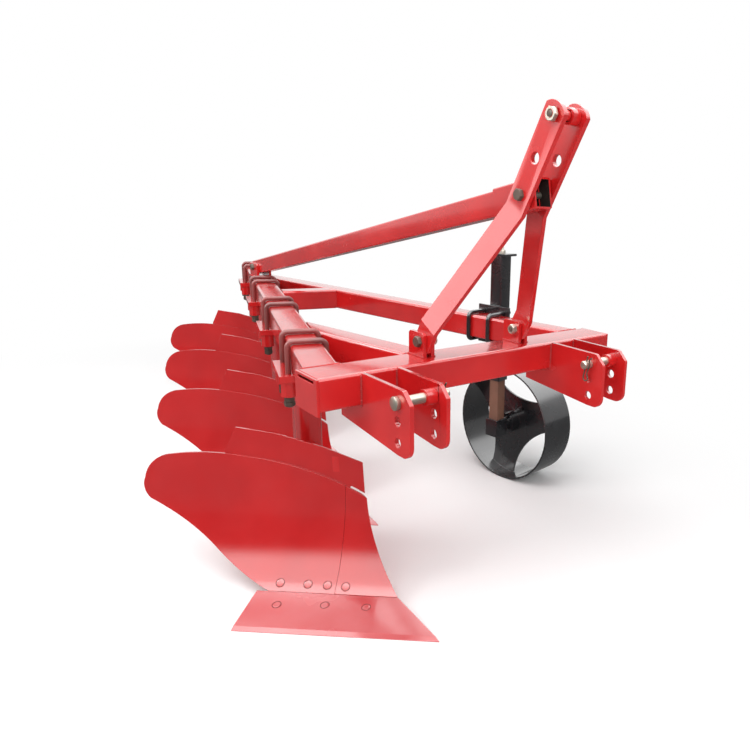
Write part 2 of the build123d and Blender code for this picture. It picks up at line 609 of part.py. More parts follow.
def build_bottom(number, shank_middle):
    """All plates of one bottom, its frog and its shank."""
    nose = shank_middle + Vector(NOSE_ACROSS, -NOSE_AHEAD, 0)
    nose = Vector(nose.X, nose.Y, FLOOR)
    section = Plane(origin=nose, x_dir=edge_in, z_dir=-edge_along)
    front_view = Plane(origin=nose, x_dir=edge_along, z_dir=edge_in)
    plan_view = Plane(origin=nose, x_dir=edge_in, z_dir=(0, 0, 1))
    land_face = nose.X

    def sheet(face):
        """Sweeps a section face along the cutting edge, past both ends."""
        return extrude(section * face, amount=SHEET_REACH, both=True)

    def seen_from_front(face):
        """Cutter with this outline, square to the cutting edge."""
        return extrude(front_view * face, amount=SHEET_REACH, both=True)

    def up_to(solid, x):
        """What lies on the ploughed side of an upright plane."""
        return keep_side(solid, (x, 0, 0), (-1, 0, 0))

    soil_side = sheet(soil_side_face())
    plate = up_to(sheet(sheet_face(0, MOULD_PLATE)) & seen_from_front(mould_outline()), land_face)
    seam_point = nose + edge_along * SHIN_SEAM
    pieces[f"mouldboard_{number}"] = keep_side(plate, seam_point + edge_along * SEAM_GAP, edge_along)
    pieces[f"shin_{number}"] = keep_side(plate, seam_point, -edge_along)

    share_plan = make_face(
        Polyline(
            (0, 0),
            (0, SHARE_LENGTH),
            (share_heel[0] + 1, SHARE_LENGTH - 4),
            (share_heel[0] + 1, (share_heel[0] + 1) * tan(radians(90 - CUT_ANGLE))),
            close=True,
        )
    )
    pieces[f"share_{number}"] = sheet(share_face()) & extrude(plan_view * share_plan, amount=FOOT_HEIGHT)

    trash = sheet(sheet_face(0, MOULD_PLATE)) & seen_from_front(trash_outline())
    pieces[f"trashboard_{number}"] = up_to(trash, land_face)

    land_back = nose.Y + LANDSIDE_REAR
    land_inner = land_face - LANDSIDE_PLATE
    landside = block(land_inner, land_face, nose.Y, land_back, FLOOR, FLOOR + LANDSIDE_HEIGHT)
    pieces[f"landside_{number}"] = landside - soil_side

    shank_x = shank_middle.X
    shank_y = shank_middle.Y
    foot_top = FLOOR + FOOT_HEIGHT
    foot_front = shank_y - SHANK_DEPTH / 2 - FOOT_MARGIN
    foot_rear = shank_y + SHANK_DEPTH / 2 + FOOT_MARGIN
    web_top = foot_top - FOOT_PLATE
    web_outline = make_face(
        Polyline(
            (nose.Y, FLOOR + SEAT),
            (nose.Y, FLOOR + FROG_TOP),
            (foot_front - 2 * SHANK_DEPTH, FLOOR + FROG_TOP),
            (foot_front, web_top),
            (foot_rear, web_top),
            (foot_rear, FLOOR + SEAT),
            close=True,
        )
    )
    web_place = Plane(origin=(land_inner - WEB_PLATE, 0, 0), x_dir=(0, 1, 0), z_dir=(1, 0, 0))
    web = extrude(web_place * web_outline, amount=WEB_PLATE)
    foot_side = shank_x - SHANK_WIDTH / 2 - FOOT_MARGIN
    foot = block(foot_side, land_inner, foot_front, foot_rear, web_top, foot_top)
    face_plate = up_to(sheet(frog_face()), land_inner)
    face_plate = keep_side(face_plate, nose + edge_along * FROG_REACH, -edge_along)
    pieces[f"frog_{number}"] = (web + foot + face_plate) - soil_side

    column_place = Plane(origin=(shank_x, shank_y, foot_top), x_dir=(1, 0, 0), z_dir=(0, 0, 1))
    column_height = BEAM_BOTTOM - CLAMP_PLATE - foot_top
    column = extrude(
        column_place * hollow(SHANK_WIDTH, SHANK_DEPTH, SHANK_WALL, SHANK_CORNER), amount=column_height
    )
    clamp = clamp_plate(shank_middle)
    wing_z = FLOOR + WING_STAY_RISE
    wing_stay = block(
        shank_x - SHEET_REACH / 2,
        shank_x - SHANK_WIDTH / 2 + SHANK_WALL / 2,
        shank_y + STAY_PLATE / 2,
        shank_y + 3 * STAY_PLATE / 2,
        wing_z,
        wing_z + STAY_HEIGHT,
    )
    trash_z = FLOOR + TRASH_STAY_RISE
    trash_stay = block(
        shank_x - STAY_PLATE / 2,
        shank_x + STAY_PLATE / 2,
        shank_y - SHEET_REACH / 2,
        shank_y - SHANK_DEPTH / 2 + SHANK_WALL / 2,
        trash_z,
        trash_z + STAY_HEIGHT,
    )
    stays = [largest(stay - soil_side) for stay in (wing_stay, trash_stay)]
    pieces[f"shank_{number}"] = column + clamp + stays[0] + stays[1]


def largest(solid):
    """The biggest of the solids that a trim leaves."""
    return max(solid.solids(), key=lambda s: s.volume)


clamp_half_across = MAIN_WIDTH / 2 + SEAT + CLAMP_BOLT / 2


def clamp_places(middle):
    """Where the four arms of a pair of U-bolts pass the beam, one pair of arms at a time."""
    for along in (-CLAMP_PITCH / 2, CLAMP_PITCH / 2):
        yield [middle + main_back * along + main_right * (side * clamp_half_across) for side in (-1, 1)]


def clamp_plate(middle):
    """Plate under the main beam with a boss round each arm of the U-bolts."""
    top = Vector(middle.X, middle.Y, BEAM_BOTTOM)
    place = Plane(origin=top, x_dir=main_back, z_dir=(0, 0, -1))
    length = CLAMP_PITCH + 2 * CLAMP_MARGIN
    width = 2 * clamp_half_across + 2 * CLAMP_MARGIN
    plate = extrude(place * Rectangle(length, width), amount=CLAMP_PLATE)
    for arms in clamp_places(middle):
        for arm in arms:
            boss_place = Plane(origin=(arm.X, arm.Y, BEAM_BOTTOM), x_dir=(1, 0, 0), z_dir=(0, 0, -1))
            depth = CLAMP_PLATE + CLAMP_BOSS_DROP
            boss = RegularPolygon(CLAMP_BOSS / 2, BOSS_SIDES, major_radius=False)
            plate += extrude(boss_place * boss, amount=depth)
            hole = CLAMP_BOLT + 2 * CLAMP_HOLE_PLAY
            plate -= extrude(boss_place * bar_section(hole), amount=depth)
    return plate


def bent_bar(corners, bend_radius, diameter, flat_dir):
    """Bar bent at two square corners, each bend drawn in a few straight steps."""
    route = [corners[0]]
    for before, corner, after in zip(corners, corners[1:], corners[2:]):
        inward = (before - corner).normalized()
        onward = (after - corner).normalized()
        centre = corner + (inward + onward) * bend_radius
        for step in range(BEND_STEPS):
            turn = radians(90 * (step + 1 / 2) / BEND_STEPS)
            outward = -onward * cos(turn) - inward * sin(turn)
            route.append(centre + outward * (bend_radius / cos(radians(45 / BEND_STEPS))))
    route.append(corners[-1])
    start = Plane(origin=corners[0], x_dir=flat_dir, z_dir=corners[1] - corners[0])
    return sweep(start * bar_section(diameter), path=Polyline(*route), transition=Transition.RIGHT)


def u_bolt(arm_1, arm_2, low_z, high_z, bend_radius, diameter):
    """Round bar bent over from one arm to the other."""
    turns = ((arm_1, low_z), (arm_1, high_z), (arm_2, high_z), (arm_2, low_z))
    corners = [Vector(arm.X, arm.Y, z) for arm, z in turns]
    return bent_bar(corners, bend_radius, diameter, Vector(1, 0, 0))


for number in range(1, BOTTOM_COUNT + 1):
    station = FIRST_STATION + (number - 1) * STATION_STEP
    middle = beam_zero + main_back * station
    build_bottom(number, middle)
    low = BEAM_BOTTOM - CLAMP_PLATE - CLAMP_BOSS_DROP - CLAMP_TAIL
    high = SEAT + CLAMP_BOLT / 2
    bend_radius = CLAMP_BOLT / 2 + TUBE_CORNER
    bolts = [u_bolt(*arms, low, high, bend_radius, CLAMP_BOLT) for arms in clamp_places(middle)]
    pieces[f"u_bolts_{number}"] = Compound(children=bolts)

# Gauge wheel. The leg tube is clamped square to the side beam, and the axle is set a few degrees
# nearer to the line of travel.
leg_base = side_front + side_back * WHEEL_STATION
side_face_out = BRACE_WIDTH / 2
plate_out = side_face_out + WHEEL_CLAMP_PLATE
leg_middle = leg_base + side_right * (plate_out + LEG_TUBE / 2)


def side_plane(out, z):
    """Upright plane along the side beam at a distance on its outer side, seen from outside."""
    origin = leg_base + side_right * out + Vector(0, 0, z)
    return Plane(origin=origin, x_dir=side_back, z_dir=side_right)


plate_low = BEAM_BOTTOM - WHEEL_CLAMP_RISE
plate_middle = (WHEEL_CLAMP_RISE + plate_low) / 2
plate_section = Rectangle(2 * WHEEL_CLAMP_HALF, WHEEL_CLAMP_RISE - plate_low)
clamp_back = extrude(side_plane(side_face_out, plate_middle) * plate_section, amount=WHEEL_CLAMP_PLATE)
wheel_bolts = []
bolt_radius = CLAMP_BOLT / 2
for along in (-WHEEL_CLAMP_PITCH / 2, WHEEL_CLAMP_PITCH / 2):
    base = leg_base + side_back * along
    near = base - side_right * (BRACE_WIDTH / 2 + SEAT + bolt_radius)
    far = base + side_right * (plate_out + WHEEL_CLAMP_TAIL)
    upper = SEAT + bolt_radius
    lower = BEAM_BOTTOM - SEAT - bolt_radius
    raised = Vector(0, 0, upper)
    lowered = Vector(0, 0, lower)
    corners = [far + raised, near + raised, near + lowered, far + lowered]
    wheel_bolts.append(bent_bar(corners, bolt_radius + TUBE_CORNER, CLAMP_BOLT, Vector(0, 0, 1)))
    for height in (upper, lower):
        hole_place = Plane(origin=base + Vector(0, 0, height), x_dir=(0, 0, 1), z_dir=side_right)
        clamp_hole = bar_section(CLAMP_BOLT + 2 * CLAMP_HOLE_PLAY)
        clamp_back -= extrude(hole_place * clamp_hole, amount=2 * plate_out)
pieces["wheel_clamp_u_bolts"] = Compound(children=wheel_bolts)
pieces["wheel_clamp_plate"] = clamp_back


def leg_plane(z):
    """Level plane round the leg's axis, square to the side beam."""
    return Plane(origin=leg_middle + Vector(0, 0, z), x_dir=side_right, z_dir=(0, 0, 1))


leg_tube = extrude(
    leg_plane(LEG_TUBE_BOTTOM) * hollow(LEG_TUBE, LEG_TUBE, LEG_TUBE_WALL, LEG_TUBE_WALL),
    amount=LEG_TUBE_TOP - LEG_TUBE_BOTTOM,
)
cap_side = LEG_TUBE + 2 * LEG_CAP_LIP
cap = extrude(leg_plane(LEG_TUBE_TOP) * Rectangle(cap_side, cap_side), amount=LEG_CAP)
cap = keep_side(cap, leg_middle - side_right * (LEG_TUBE / 2 + SEAT), side_right)
cap -= extrude(leg_plane(LEG_TUBE_TOP) * bar_section(SCREW + 2 * PIN_PLAY), amount=LEG_CAP)
pieces["wheel_leg_tube"] = leg_tube + cap

cap_top = LEG_TUBE_TOP + LEG_CAP
screw = extrude(leg_plane(cap_top - SCREW_LENGTH) * bar_section(SCREW), amount=SCREW_LENGTH + SCREW_STUB)
screw_nut = RegularPolygon(SCREW_NUT / 2, 6, major_radius=False)
screw += extrude(leg_plane(cap_top) * screw_nut, amount=SCREW_NUT_HEIGHT)
pieces["wheel_screw"] = screw

# The bracket clamps the inner bar and holds the stub axle.
axle_z = FLOOR + WHEEL_RADIUS
wheel_right = right_of(-WHEEL_TOE)
bar_top = LEG_TUBE_BOTTOM + LEG_BAR_INSIDE
bar_low = axle_z - BRACKET_HEIGHT / 2
inner_bar = extrude(
    leg_plane(bar_low) * RectangleRounded(LEG_BAR, LEG_BAR, LEG_BAR_CORNER), amount=bar_top - bar_low
)
inner_bar -= extrude(
    leg_plane(bar_top - SCREW_LENGTH) * bar_section(SCREW + 2 * CLAMP_HOLE_PLAY), amount=SCREW_LENGTH
)
bracket_place = Plane(origin=leg_middle + Vector(0, 0, bar_low), x_dir=wheel_right, z_dir=(0, 0, 1))
bracket = extrude(bracket_place * Rectangle(BRACKET_SIDE, BRACKET_SIDE), amount=BRACKET_HEIGHT)
rim_start = LEG_TUBE / 2 + WHEEL_GAP
axle_place = Plane(origin=leg_middle + Vector(0, 0, axle_z), x_dir=(0, 0, 1), z_dir=wheel_right)
hub_start = rim_start + (WHEEL_WIDTH - HUB_LENGTH) / 2
axle = extrude(axle_place * Circle(AXLE / 2), amount=hub_start + HUB_LENGTH)
axle += extrude(axle_place * Circle(AXLE_SHOULDER / 2), amount=hub_start - SEAT)
pieces["wheel_leg_bar"] = inner_bar + bracket + axle


def wheel():
    """Rim, hub, and a disc whose three arms are left between openings that reach the rim."""
    rim_place = axle_place.offset(rim_start)
    rim = extrude(rim_place * (Circle(WHEEL_RADIUS) - Circle(WHEEL_RADIUS - WHEEL_RIM)), amount=WHEEL_WIDTH)
    disc = Circle(WHEEL_RADIUS - WHEEL_RIM / 2)
    cutout = Pos(WHEEL_CUTOUT_NEAR + WHEEL_CUTOUT_ROUND, 0) * Circle(WHEEL_CUTOUT_ROUND)
    for index in range(WHEEL_CUTOUTS):
        disc -= Rot(0, 0, WHEEL_CUTOUT_TURN + index * 360 / WHEEL_CUTOUTS) * cutout
    plate = extrude(rim_place.offset(WHEEL_DISC_INSET) * disc, amount=WHEEL_DISC)
    hub = extrude(axle_place.offset(hub_start) * Circle(HUB_DIAMETER / 2), amount=HUB_LENGTH)
    bore = extrude(axle_place * Circle(AXLE / 2 + PIN_PLAY), amount=rim_start + WHEEL_WIDTH)
    return rim + plate + hub - bore


pieces["gauge_wheel"] = wheel()

# The origin is the middle of the footprint, on the floor.
boxes = [piece.bounding_box() for piece in pieces.values()]
low = [min(getattr(box.min, axis) for box in boxes) for axis in "XYZ"]
high = [max(getattr(box.max, axis) for box in boxes) for axis in "XYZ"]
to_origin = Pos(-(low[0] + high[0]) / 2, -(low[1] + high[1]) / 2, -low[2])

os.makedirs("parts", exist_ok=True)
for name, piece in pieces.items():
    export_step(to_origin * piece, f"parts/{name}.step")
print(len(pieces), "pieces, moved by", [round(v, 3) for v in to_origin.position])
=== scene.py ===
# %% [markdown]
# A mounted mouldboard plough, finished in Blender.
#
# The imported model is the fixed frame: every node is already at its real size and place. This
# script gives each node its paint, adds what is too small or too freely shaped for the frame, and
# sets up the camera and the light. Lengths are in metres.

import json
import math

import bmesh
import bpy
from mathutils import Matrix, Vector
from mathutils.bvhtree import BVHTree


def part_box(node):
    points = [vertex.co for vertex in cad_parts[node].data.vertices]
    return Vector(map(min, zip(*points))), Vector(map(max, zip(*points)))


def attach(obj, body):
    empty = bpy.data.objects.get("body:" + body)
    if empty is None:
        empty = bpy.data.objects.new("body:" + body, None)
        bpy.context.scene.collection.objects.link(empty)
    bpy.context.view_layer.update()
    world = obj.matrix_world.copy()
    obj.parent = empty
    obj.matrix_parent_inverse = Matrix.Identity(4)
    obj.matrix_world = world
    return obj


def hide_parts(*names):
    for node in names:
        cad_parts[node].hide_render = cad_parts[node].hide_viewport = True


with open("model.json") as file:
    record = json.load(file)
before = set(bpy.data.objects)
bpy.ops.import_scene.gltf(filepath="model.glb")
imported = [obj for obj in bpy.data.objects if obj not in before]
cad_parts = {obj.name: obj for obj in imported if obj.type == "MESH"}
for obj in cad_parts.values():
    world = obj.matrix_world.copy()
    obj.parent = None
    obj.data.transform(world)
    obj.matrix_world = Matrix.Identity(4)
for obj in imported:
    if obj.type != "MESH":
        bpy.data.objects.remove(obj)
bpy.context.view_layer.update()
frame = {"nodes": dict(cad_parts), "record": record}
nodes = frame["nodes"]

# %% [markdown]
# The plough was laid out from the front right corner of its cross beam, with the tube tops at
# height zero. The frame's origin is the middle of the footprint instead, so one vector takes every
# size of the drawing into the scene. It is read off the cross beam, which saves typing it twice.

# %% One vector from the drawing to the scene
MM = 0.001
END_PLATE = 6 * MM
beam_low, beam_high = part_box("cross_beam")
DRAWING_ORIGIN = Vector((beam_low.x - END_PLATE, beam_low.y, beam_high.z))


def drawn(x, y, z):
    """A point of the drawing, in millimetres, as a place in the scene."""
    return DRAWING_ORIGIN + Vector((x, y, z)) * MM


def back_along(turn):
    """Unit vector straight back, turned towards +X."""
    return Vector((math.sin(math.radians(turn)), math.cos(math.radians(turn)), 0))


def right_across(turn):
    """Unit vector square to back_along(turn), on its +X side."""
    return Vector((math.cos(math.radians(turn)), -math.sin(math.radians(turn)), 0))


UP = Vector((0, 0, 1))
MAIN_TURN = 16.3
SIDE_TURN = 10.4
MAIN_BACK, MAIN_RIGHT = back_along(MAIN_TURN), right_across(MAIN_TURN)
SIDE_BACK, SIDE_RIGHT = back_along(-SIDE_TURN), right_across(-SIDE_TURN)
BEAM_ZERO = drawn(29.68, 0, 0)
BOTTOM_STATIONS = [400 * MM + 592 * MM * k for k in range(4)]
print("drawing origin", [round(v, 4) for v in DRAWING_ORIGIN])

# %% [markdown]
# The camera stands in front of the plough on its furrow side, a little over a metre above the
# floor. The picture is the left part of a wider view: the optical axis lies right of the middle,
# which is what the shift says.

# %% Camera
CAMERA_AT = drawn(-553.6, -1235.8, 380.0)
CAMERA_TURN = math.radians(44.32)
CAMERA_DIP = math.radians(13.79)
CAMERA_ROLL = math.radians(2.76)
SENSOR = 36.0
PHOTO_SIDE = 750
FOCAL_PIXELS = 643.2
AXIS_PIXEL = (544.2, 359.1)
VIEW_DEPTH = 200


def camera_matrix():
    """Turned from +Y towards +X, dipped below the horizon, then rolled about the view."""
    ahead = Vector((
        math.sin(CAMERA_TURN) * math.cos(CAMERA_DIP),
        math.cos(CAMERA_TURN) * math.cos(CAMERA_DIP),
        -math.sin(CAMERA_DIP),
    ))
    level = Vector((math.cos(CAMERA_TURN), -math.sin(CAMERA_TURN), 0))
    upright = level.cross(ahead)
    right = level * math.cos(CAMERA_ROLL) + upright * math.sin(CAMERA_ROLL)
    up = upright * math.cos(CAMERA_ROLL) - level * math.sin(CAMERA_ROLL)
    matrix = Matrix((right, up, -ahead)).transposed().to_4x4()
    matrix.translation = CAMERA_AT
    return matrix


camera_data = bpy.data.cameras.new("camera")
camera_data.sensor_width = SENSOR
camera_data.lens = FOCAL_PIXELS * SENSOR / PHOTO_SIDE
camera_data.shift_x = 0.5 - AXIS_PIXEL[0] / PHOTO_SIDE
camera_data.shift_y = AXIS_PIXEL[1] / PHOTO_SIDE - 0.5
camera_data.clip_end = VIEW_DEPTH
camera = bpy.data.objects.new("camera", camera_data)
camera.matrix_world = camera_matrix()
bpy.context.scene.collection.objects.link(camera)
bpy.context.scene.camera = camera
print("lens", round(camera_data.lens, 2), "mm")

# %% [markdown]
# The studio is a white floor that runs out to a white world. Seen in the gloss of the paint the
# floor is dark, the side behind the plough is bright and the side behind the camera is dim, as in a
# hall, with a skylight above and one window on the furrow side. That is what makes the level tops
# of the tubes pale while their upright sides stay a deep red, and what pales the foot of each
# mouldboard and the lower halves of the mast bars.

# %% Studio
FLOOR_HALF = 30.0
FLOOR_WHITE = 0.93
FLOOR_SHADE = 0.01
FLOOR_CLOUDS = 0.7
FLOOR_IN_GLOSS = 0.18
SHADOW_ROUND = (1.1, 1.75, 1.0)
SHADOW_NEAR = 0.85
SHADOW_FAR = 1.5
WORLD_LIGHT = 0.55
WORLD_SEEN = 1.0
AWAY = Vector((math.sin(CAMERA_TURN), math.cos(CAMERA_TURN), 0))

# The hall in the gloss. An edge is given as the lowest and highest cosine, or height, of the
# direction that it is seen in; the window's angles are degrees from +Y towards +X and upwards.
WALL_DIM = 0.10
WALL_BRIGHT = 1.0
WALL_EDGE = (-0.35, 0.45)
SKYLIGHT = 3.4
SKYLIGHT_EDGE = (0.38, 0.56)
WINDOW = 3.6
WINDOW_TURN = math.radians(-57)
WINDOW_RISE = math.radians(22)
WINDOW_EDGE = (math.cos(math.radians(21)), math.cos(math.radians(14)))


def link_object(name, data):
    """New object for this data, in the scene."""
    made = bpy.data.objects.new(name, data)
    bpy.context.scene.collection.objects.link(made)
    return made


def new_material(name):
    """Empty node material with its shader and output; returns it with its tree and shader."""
    material = bpy.data.materials.new(name)
    material.use_nodes = True
    tree = material.node_tree
    tree.nodes.clear()
    out = tree.nodes.new("ShaderNodeOutputMaterial")
    shader = tree.nodes.new("ShaderNodeBsdfPrincipled")
    tree.links.new(shader.outputs["BSDF"], out.inputs["Surface"])
    return material, tree, shader


def ramp(tree, value, edge, low, high, smooth=True):
    """A number that goes from low to high as the value crosses an edge."""
    node = tree.nodes.new("ShaderNodeMapRange")
    if smooth:
        node.interpolation_type = "SMOOTHSTEP"
    for label, number in zip(("From Min", "From Max", "To Min", "To Max"), (*edge, low, high)):
        node.inputs[label].default_value = number
    tree.links.new(value, node.inputs["Value"])
    return node.outputs["Result"]


def reckon(tree, operation, first, second, clamp=False):
    """Sum or larger of two numbers."""
    node = tree.nodes.new("ShaderNodeMath")
    node.operation = operation
    node.use_clamp = clamp
    tree.links.new(first, node.inputs[0])
    tree.links.new(second, node.inputs[1])
    return node.outputs[0]


def mix_shaders(tree, factor, first, second):
    """Mix of two shaders."""
    mix = tree.nodes.new("ShaderNodeMixShader")
    tree.links.new(factor, mix.inputs["Fac"])
    tree.links.new(first, mix.inputs[1])
    tree.links.new(second, mix.inputs[2])
    return mix.outputs["Shader"]


def plain_glow(tree, level):
    """Grey emission of this level."""
    glow = tree.nodes.new("ShaderNodeEmission")
    glow.inputs["Color"].default_value = (level, level, level, 1)
    return glow.outputs["Emission"]


def make_floor():
    """White floor that fades to plain white away from the shadow."""
    mesh = bpy.data.meshes.new("floor")
    h = FLOOR_HALF
    mesh.from_pydata([(-h, -h, 0), (h, -h, 0), (h, h, 0), (-h, h, 0)], [], [(0, 1, 2, 3)])
    floor = link_object("floor", mesh)
    material, tree, shader = new_material("studio_floor")
    shader.inputs["Roughness"].default_value = 1.0
    shader.inputs["Specular IOR Level"].default_value = 0.0
    coords = tree.nodes.new("ShaderNodeTexCoord")
    noise = tree.nodes.new("ShaderNodeTexNoise")
    noise.inputs["Scale"].default_value = FLOOR_CLOUDS
    tree.links.new(coords.outputs["Object"], noise.inputs["Vector"])
    darkest, lightest = FLOOR_WHITE - FLOOR_SHADE, FLOOR_WHITE + FLOOR_SHADE
    shade = ramp(tree, noise.outputs["Fac"], (0, 1), darkest, lightest, smooth=False)
    tree.links.new(shade, shader.inputs["Base Color"])
    oval = tree.nodes.new("ShaderNodeVectorMath")
    oval.operation = "DIVIDE"
    oval.inputs[1].default_value = SHADOW_ROUND
    tree.links.new(coords.outputs["Object"], oval.inputs[0])
    distance = tree.nodes.new("ShaderNodeVectorMath")
    distance.operation = "LENGTH"
    tree.links.new(oval.outputs["Vector"], distance.inputs[0])
    far = ramp(tree, distance.outputs["Value"], (SHADOW_NEAR, SHADOW_FAR), 0, 1)
    seen = mix_shaders(tree, far, shader.outputs["BSDF"], plain_glow(tree, 1.0))
    path = tree.nodes.new("ShaderNodeLightPath")
    direct = mix_shaders(tree, path.outputs["Is Camera Ray"], shader.outputs["BSDF"], seen)
    whole = mix_shaders(tree, path.outputs["Is Glossy Ray"], direct, plain_glow(tree, FLOOR_IN_GLOSS))
    out = [n for n in tree.nodes if n.bl_idname == "ShaderNodeOutputMaterial"][0]
    tree.links.new(whole, out.inputs["Surface"])
    mesh.materials.append(material)


def make_world():
    """White where the camera sees it, a hall where the gloss sees it, and softer as a light."""
    world = bpy.data.worlds.new("studio")
    world.use_nodes = True
    tree = world.node_tree
    tree.nodes.clear()
    out = tree.nodes.new("ShaderNodeOutputWorld")
    background = tree.nodes.new("ShaderNodeBackground")
    path = tree.nodes.new("ShaderNodeLightPath")
    direction = tree.nodes.new("ShaderNodeTexCoord").outputs["Generated"]

    def towards(aim):
        """Cosine of the angle between the direction and this aim."""
        node = tree.nodes.new("ShaderNodeVectorMath")
        node.operation = "DOT_PRODUCT"
        node.inputs[1].default_value = aim
        tree.links.new(direction, node.inputs[0])
        return node.outputs["Value"]

    level = math.cos(WINDOW_RISE)
    window_at = (math.sin(WINDOW_TURN) * level, math.cos(WINDOW_TURN) * level, math.sin(WINDOW_RISE))
    wall = ramp(tree, towards(AWAY), WALL_EDGE, WALL_DIM, WALL_BRIGHT)
    skylight = ramp(tree, towards(UP), SKYLIGHT_EDGE, 0, SKYLIGHT)
    window = ramp(tree, towards(window_at), WINDOW_EDGE, 0, WINDOW)
    hall = reckon(tree, "MAXIMUM", wall, reckon(tree, "ADD", skylight, window))
    in_gloss = tree.nodes.new("ShaderNodeMix")
    in_gloss.data_type = "FLOAT"
    in_gloss.inputs[2].default_value = 1.0
    tree.links.new(path.outputs["Is Glossy Ray"], in_gloss.inputs[0])
    tree.links.new(hall, in_gloss.inputs[3])
    tree.links.new(in_gloss.outputs[0], background.inputs["Color"])
    seen = reckon(tree, "ADD", path.outputs["Is Camera Ray"], path.outputs["Is Glossy Ray"])
    seen = reckon(tree, "ADD", seen, path.outputs["Is Transmission Ray"], clamp=True)
    strength = ramp(tree, seen, (0, 1), WORLD_LIGHT, WORLD_SEEN, smooth=False)
    tree.links.new(strength, background.inputs["Strength"])
    tree.links.new(background.outputs[0], out.inputs["Surface"])
    bpy.context.scene.world = world


def area_light(name, place, aim, size, power):
    """Square soft box that looks at a point."""
    data = bpy.data.lights.new(name, "AREA")
    data.size = size
    data.energy = power
    light = link_object(name, data)
    light.location = place
    light.rotation_euler = (aim - place).to_track_quat("-Z", "Y").to_euler()


make_floor()
make_world()
bpy.context.scene.view_settings.view_transform = "Standard"
LOOK_AT = Vector((0, 0, 0.6))
area_light("top_box", Vector((-1.2, -1.2, 4.2)), LOOK_AT, 3.5, 120)
area_light("front_box", Vector((-0.9, -4.4, 2.4)), LOOK_AT, 2.2, 52)
area_light("side_box", Vector((-4.0, 0.9, 3.4)), LOOK_AT, 2.2, 85)
print("studio set")

# %% [markdown]
# The red is enamel sprayed on thick. Three things make it read as that: a clear gloss over a full
# red, a very fine orange peel in that gloss, and a slow change of shade where the coat is thicker.
# All of it reads Object coordinates, so it stays put on every piece.

# %% Paints and metals
COAT_CLOUDS = 6.0
COAT_EDGE = (0.35, 0.65)
WEAR_SCALE = 14.0
WEAR_EDGE = (0.3, 0.7)
PEEL_SCALE = 420.0
PEEL_HEIGHT = 0.0006
GLOSS_SPREAD = 0.12


def object_noise(tree, scale, detail=2.0):
    """Noise in Object coordinates."""
    coords = tree.nodes.new("ShaderNodeTexCoord")
    noise = tree.nodes.new("ShaderNodeTexNoise")
    noise.inputs["Scale"].default_value = scale
    noise.inputs["Detail"].default_value = detail
    tree.links.new(coords.outputs["Object"], noise.inputs["Vector"])
    return noise.outputs["Fac"]


def blend_colours(tree, factor, first, second):
    """Colour that runs from first to second as the factor rises."""
    mix = tree.nodes.new("ShaderNodeMix")
    mix.data_type = "RGBA"
    tree.links.new(ramp(tree, factor, COAT_EDGE, 0, 1), mix.inputs["Factor"])
    for label, colour in (("A", first), ("B", second)):
        socket = [s for s in mix.inputs if s.name == label and s.type == "RGBA"][0]
        socket.default_value = (*colour, 1)
    return [s for s in mix.outputs if s.type == "RGBA"][0]


def bump(tree, shader, height, strength, distance):
    """Adds a bump to the shader."""
    node = tree.nodes.new("ShaderNodeBump")
    node.inputs["Strength"].default_value = strength
    node.inputs["Distance"].default_value = distance
    tree.links.new(height, node.inputs["Height"])
    tree.links.new(node.outputs["Normal"], shader.inputs["Normal"])


def enamel(name, thick, thin, gloss=0.16, coat=1.0, metal=0.0, peel=0.10):
    """Sprayed enamel: thick is the full colour, thin the colour where the coat is lean."""
    material, tree, shader = new_material(name)
    cloud = object_noise(tree, COAT_CLOUDS, detail=3.0)
    tree.links.new(blend_colours(tree, cloud, thick, thin), shader.inputs["Base Color"])
    wear = object_noise(tree, WEAR_SCALE)
    rough = ramp(tree, wear, WEAR_EDGE, gloss, gloss + GLOSS_SPREAD, smooth=False)
    tree.links.new(rough, shader.inputs["Roughness"])
    shader.inputs["Coat Weight"].default_value = coat
    shader.inputs["Coat Roughness"].default_value = 0.12
    shader.inputs["Specular IOR Level"].default_value = 0.5
    shader.inputs["Metallic"].default_value = metal
    bump(tree, shader, object_noise(tree, PEEL_SCALE), peel, PEEL_HEIGHT)
    return material


red_enamel = enamel("red_enamel", (0.58, 0.014, 0.014), (0.50, 0.011, 0.012))
blade_enamel = enamel("blade_enamel", (0.47, 0.012, 0.013), (0.42, 0.010, 0.011), gloss=0.12)
black_enamel = enamel("black_enamel", (0.010, 0.010, 0.012), (0.017, 0.017, 0.019), gloss=0.22)
bolt_red = enamel("bolt_red", (0.25, 0.050, 0.046), (0.14, 0.036, 0.032), gloss=0.42, coat=0.3)
nut_brown = enamel("nut_brown", (0.12, 0.085, 0.065), (0.07, 0.048, 0.038), gloss=0.45, coat=0.1, metal=0.3)
zinc = enamel("zinc", (0.62, 0.58, 0.50), (0.48, 0.44, 0.37), gloss=0.32, coat=0.0, metal=0.85)
rust_bar = enamel("rust_bar", (0.20, 0.095, 0.060), (0.11, 0.052, 0.035), gloss=0.6, coat=0.0, peel=0.3)
# The shares' red is lightened towards pink: a painted sheen that stands in for the pale reflection of the
# sky on their tilted face.
share_enamel = enamel("share_enamel", (0.51, 0.070, 0.075), (0.54, 0.100, 0.105), gloss=0.17)
weld_red = enamel("weld_red", (0.44, 0.013, 0.013), (0.34, 0.012, 0.012), gloss=0.45, coat=0.0)
# Dark red for a thin ring round each flush bolt head: painted shade in the gap round the head.
rim_red = enamel("rim_red", (0.16, 0.010, 0.010), (0.10, 0.008, 0.008), gloss=0.5, coat=0.0)
# Near-black for the inside of tubes and round the mast's top pin: painted shade.
tube_inside = enamel("tube_inside", (0.020, 0.012, 0.011), (0.030, 0.018, 0.015), gloss=0.7, coat=0.0)

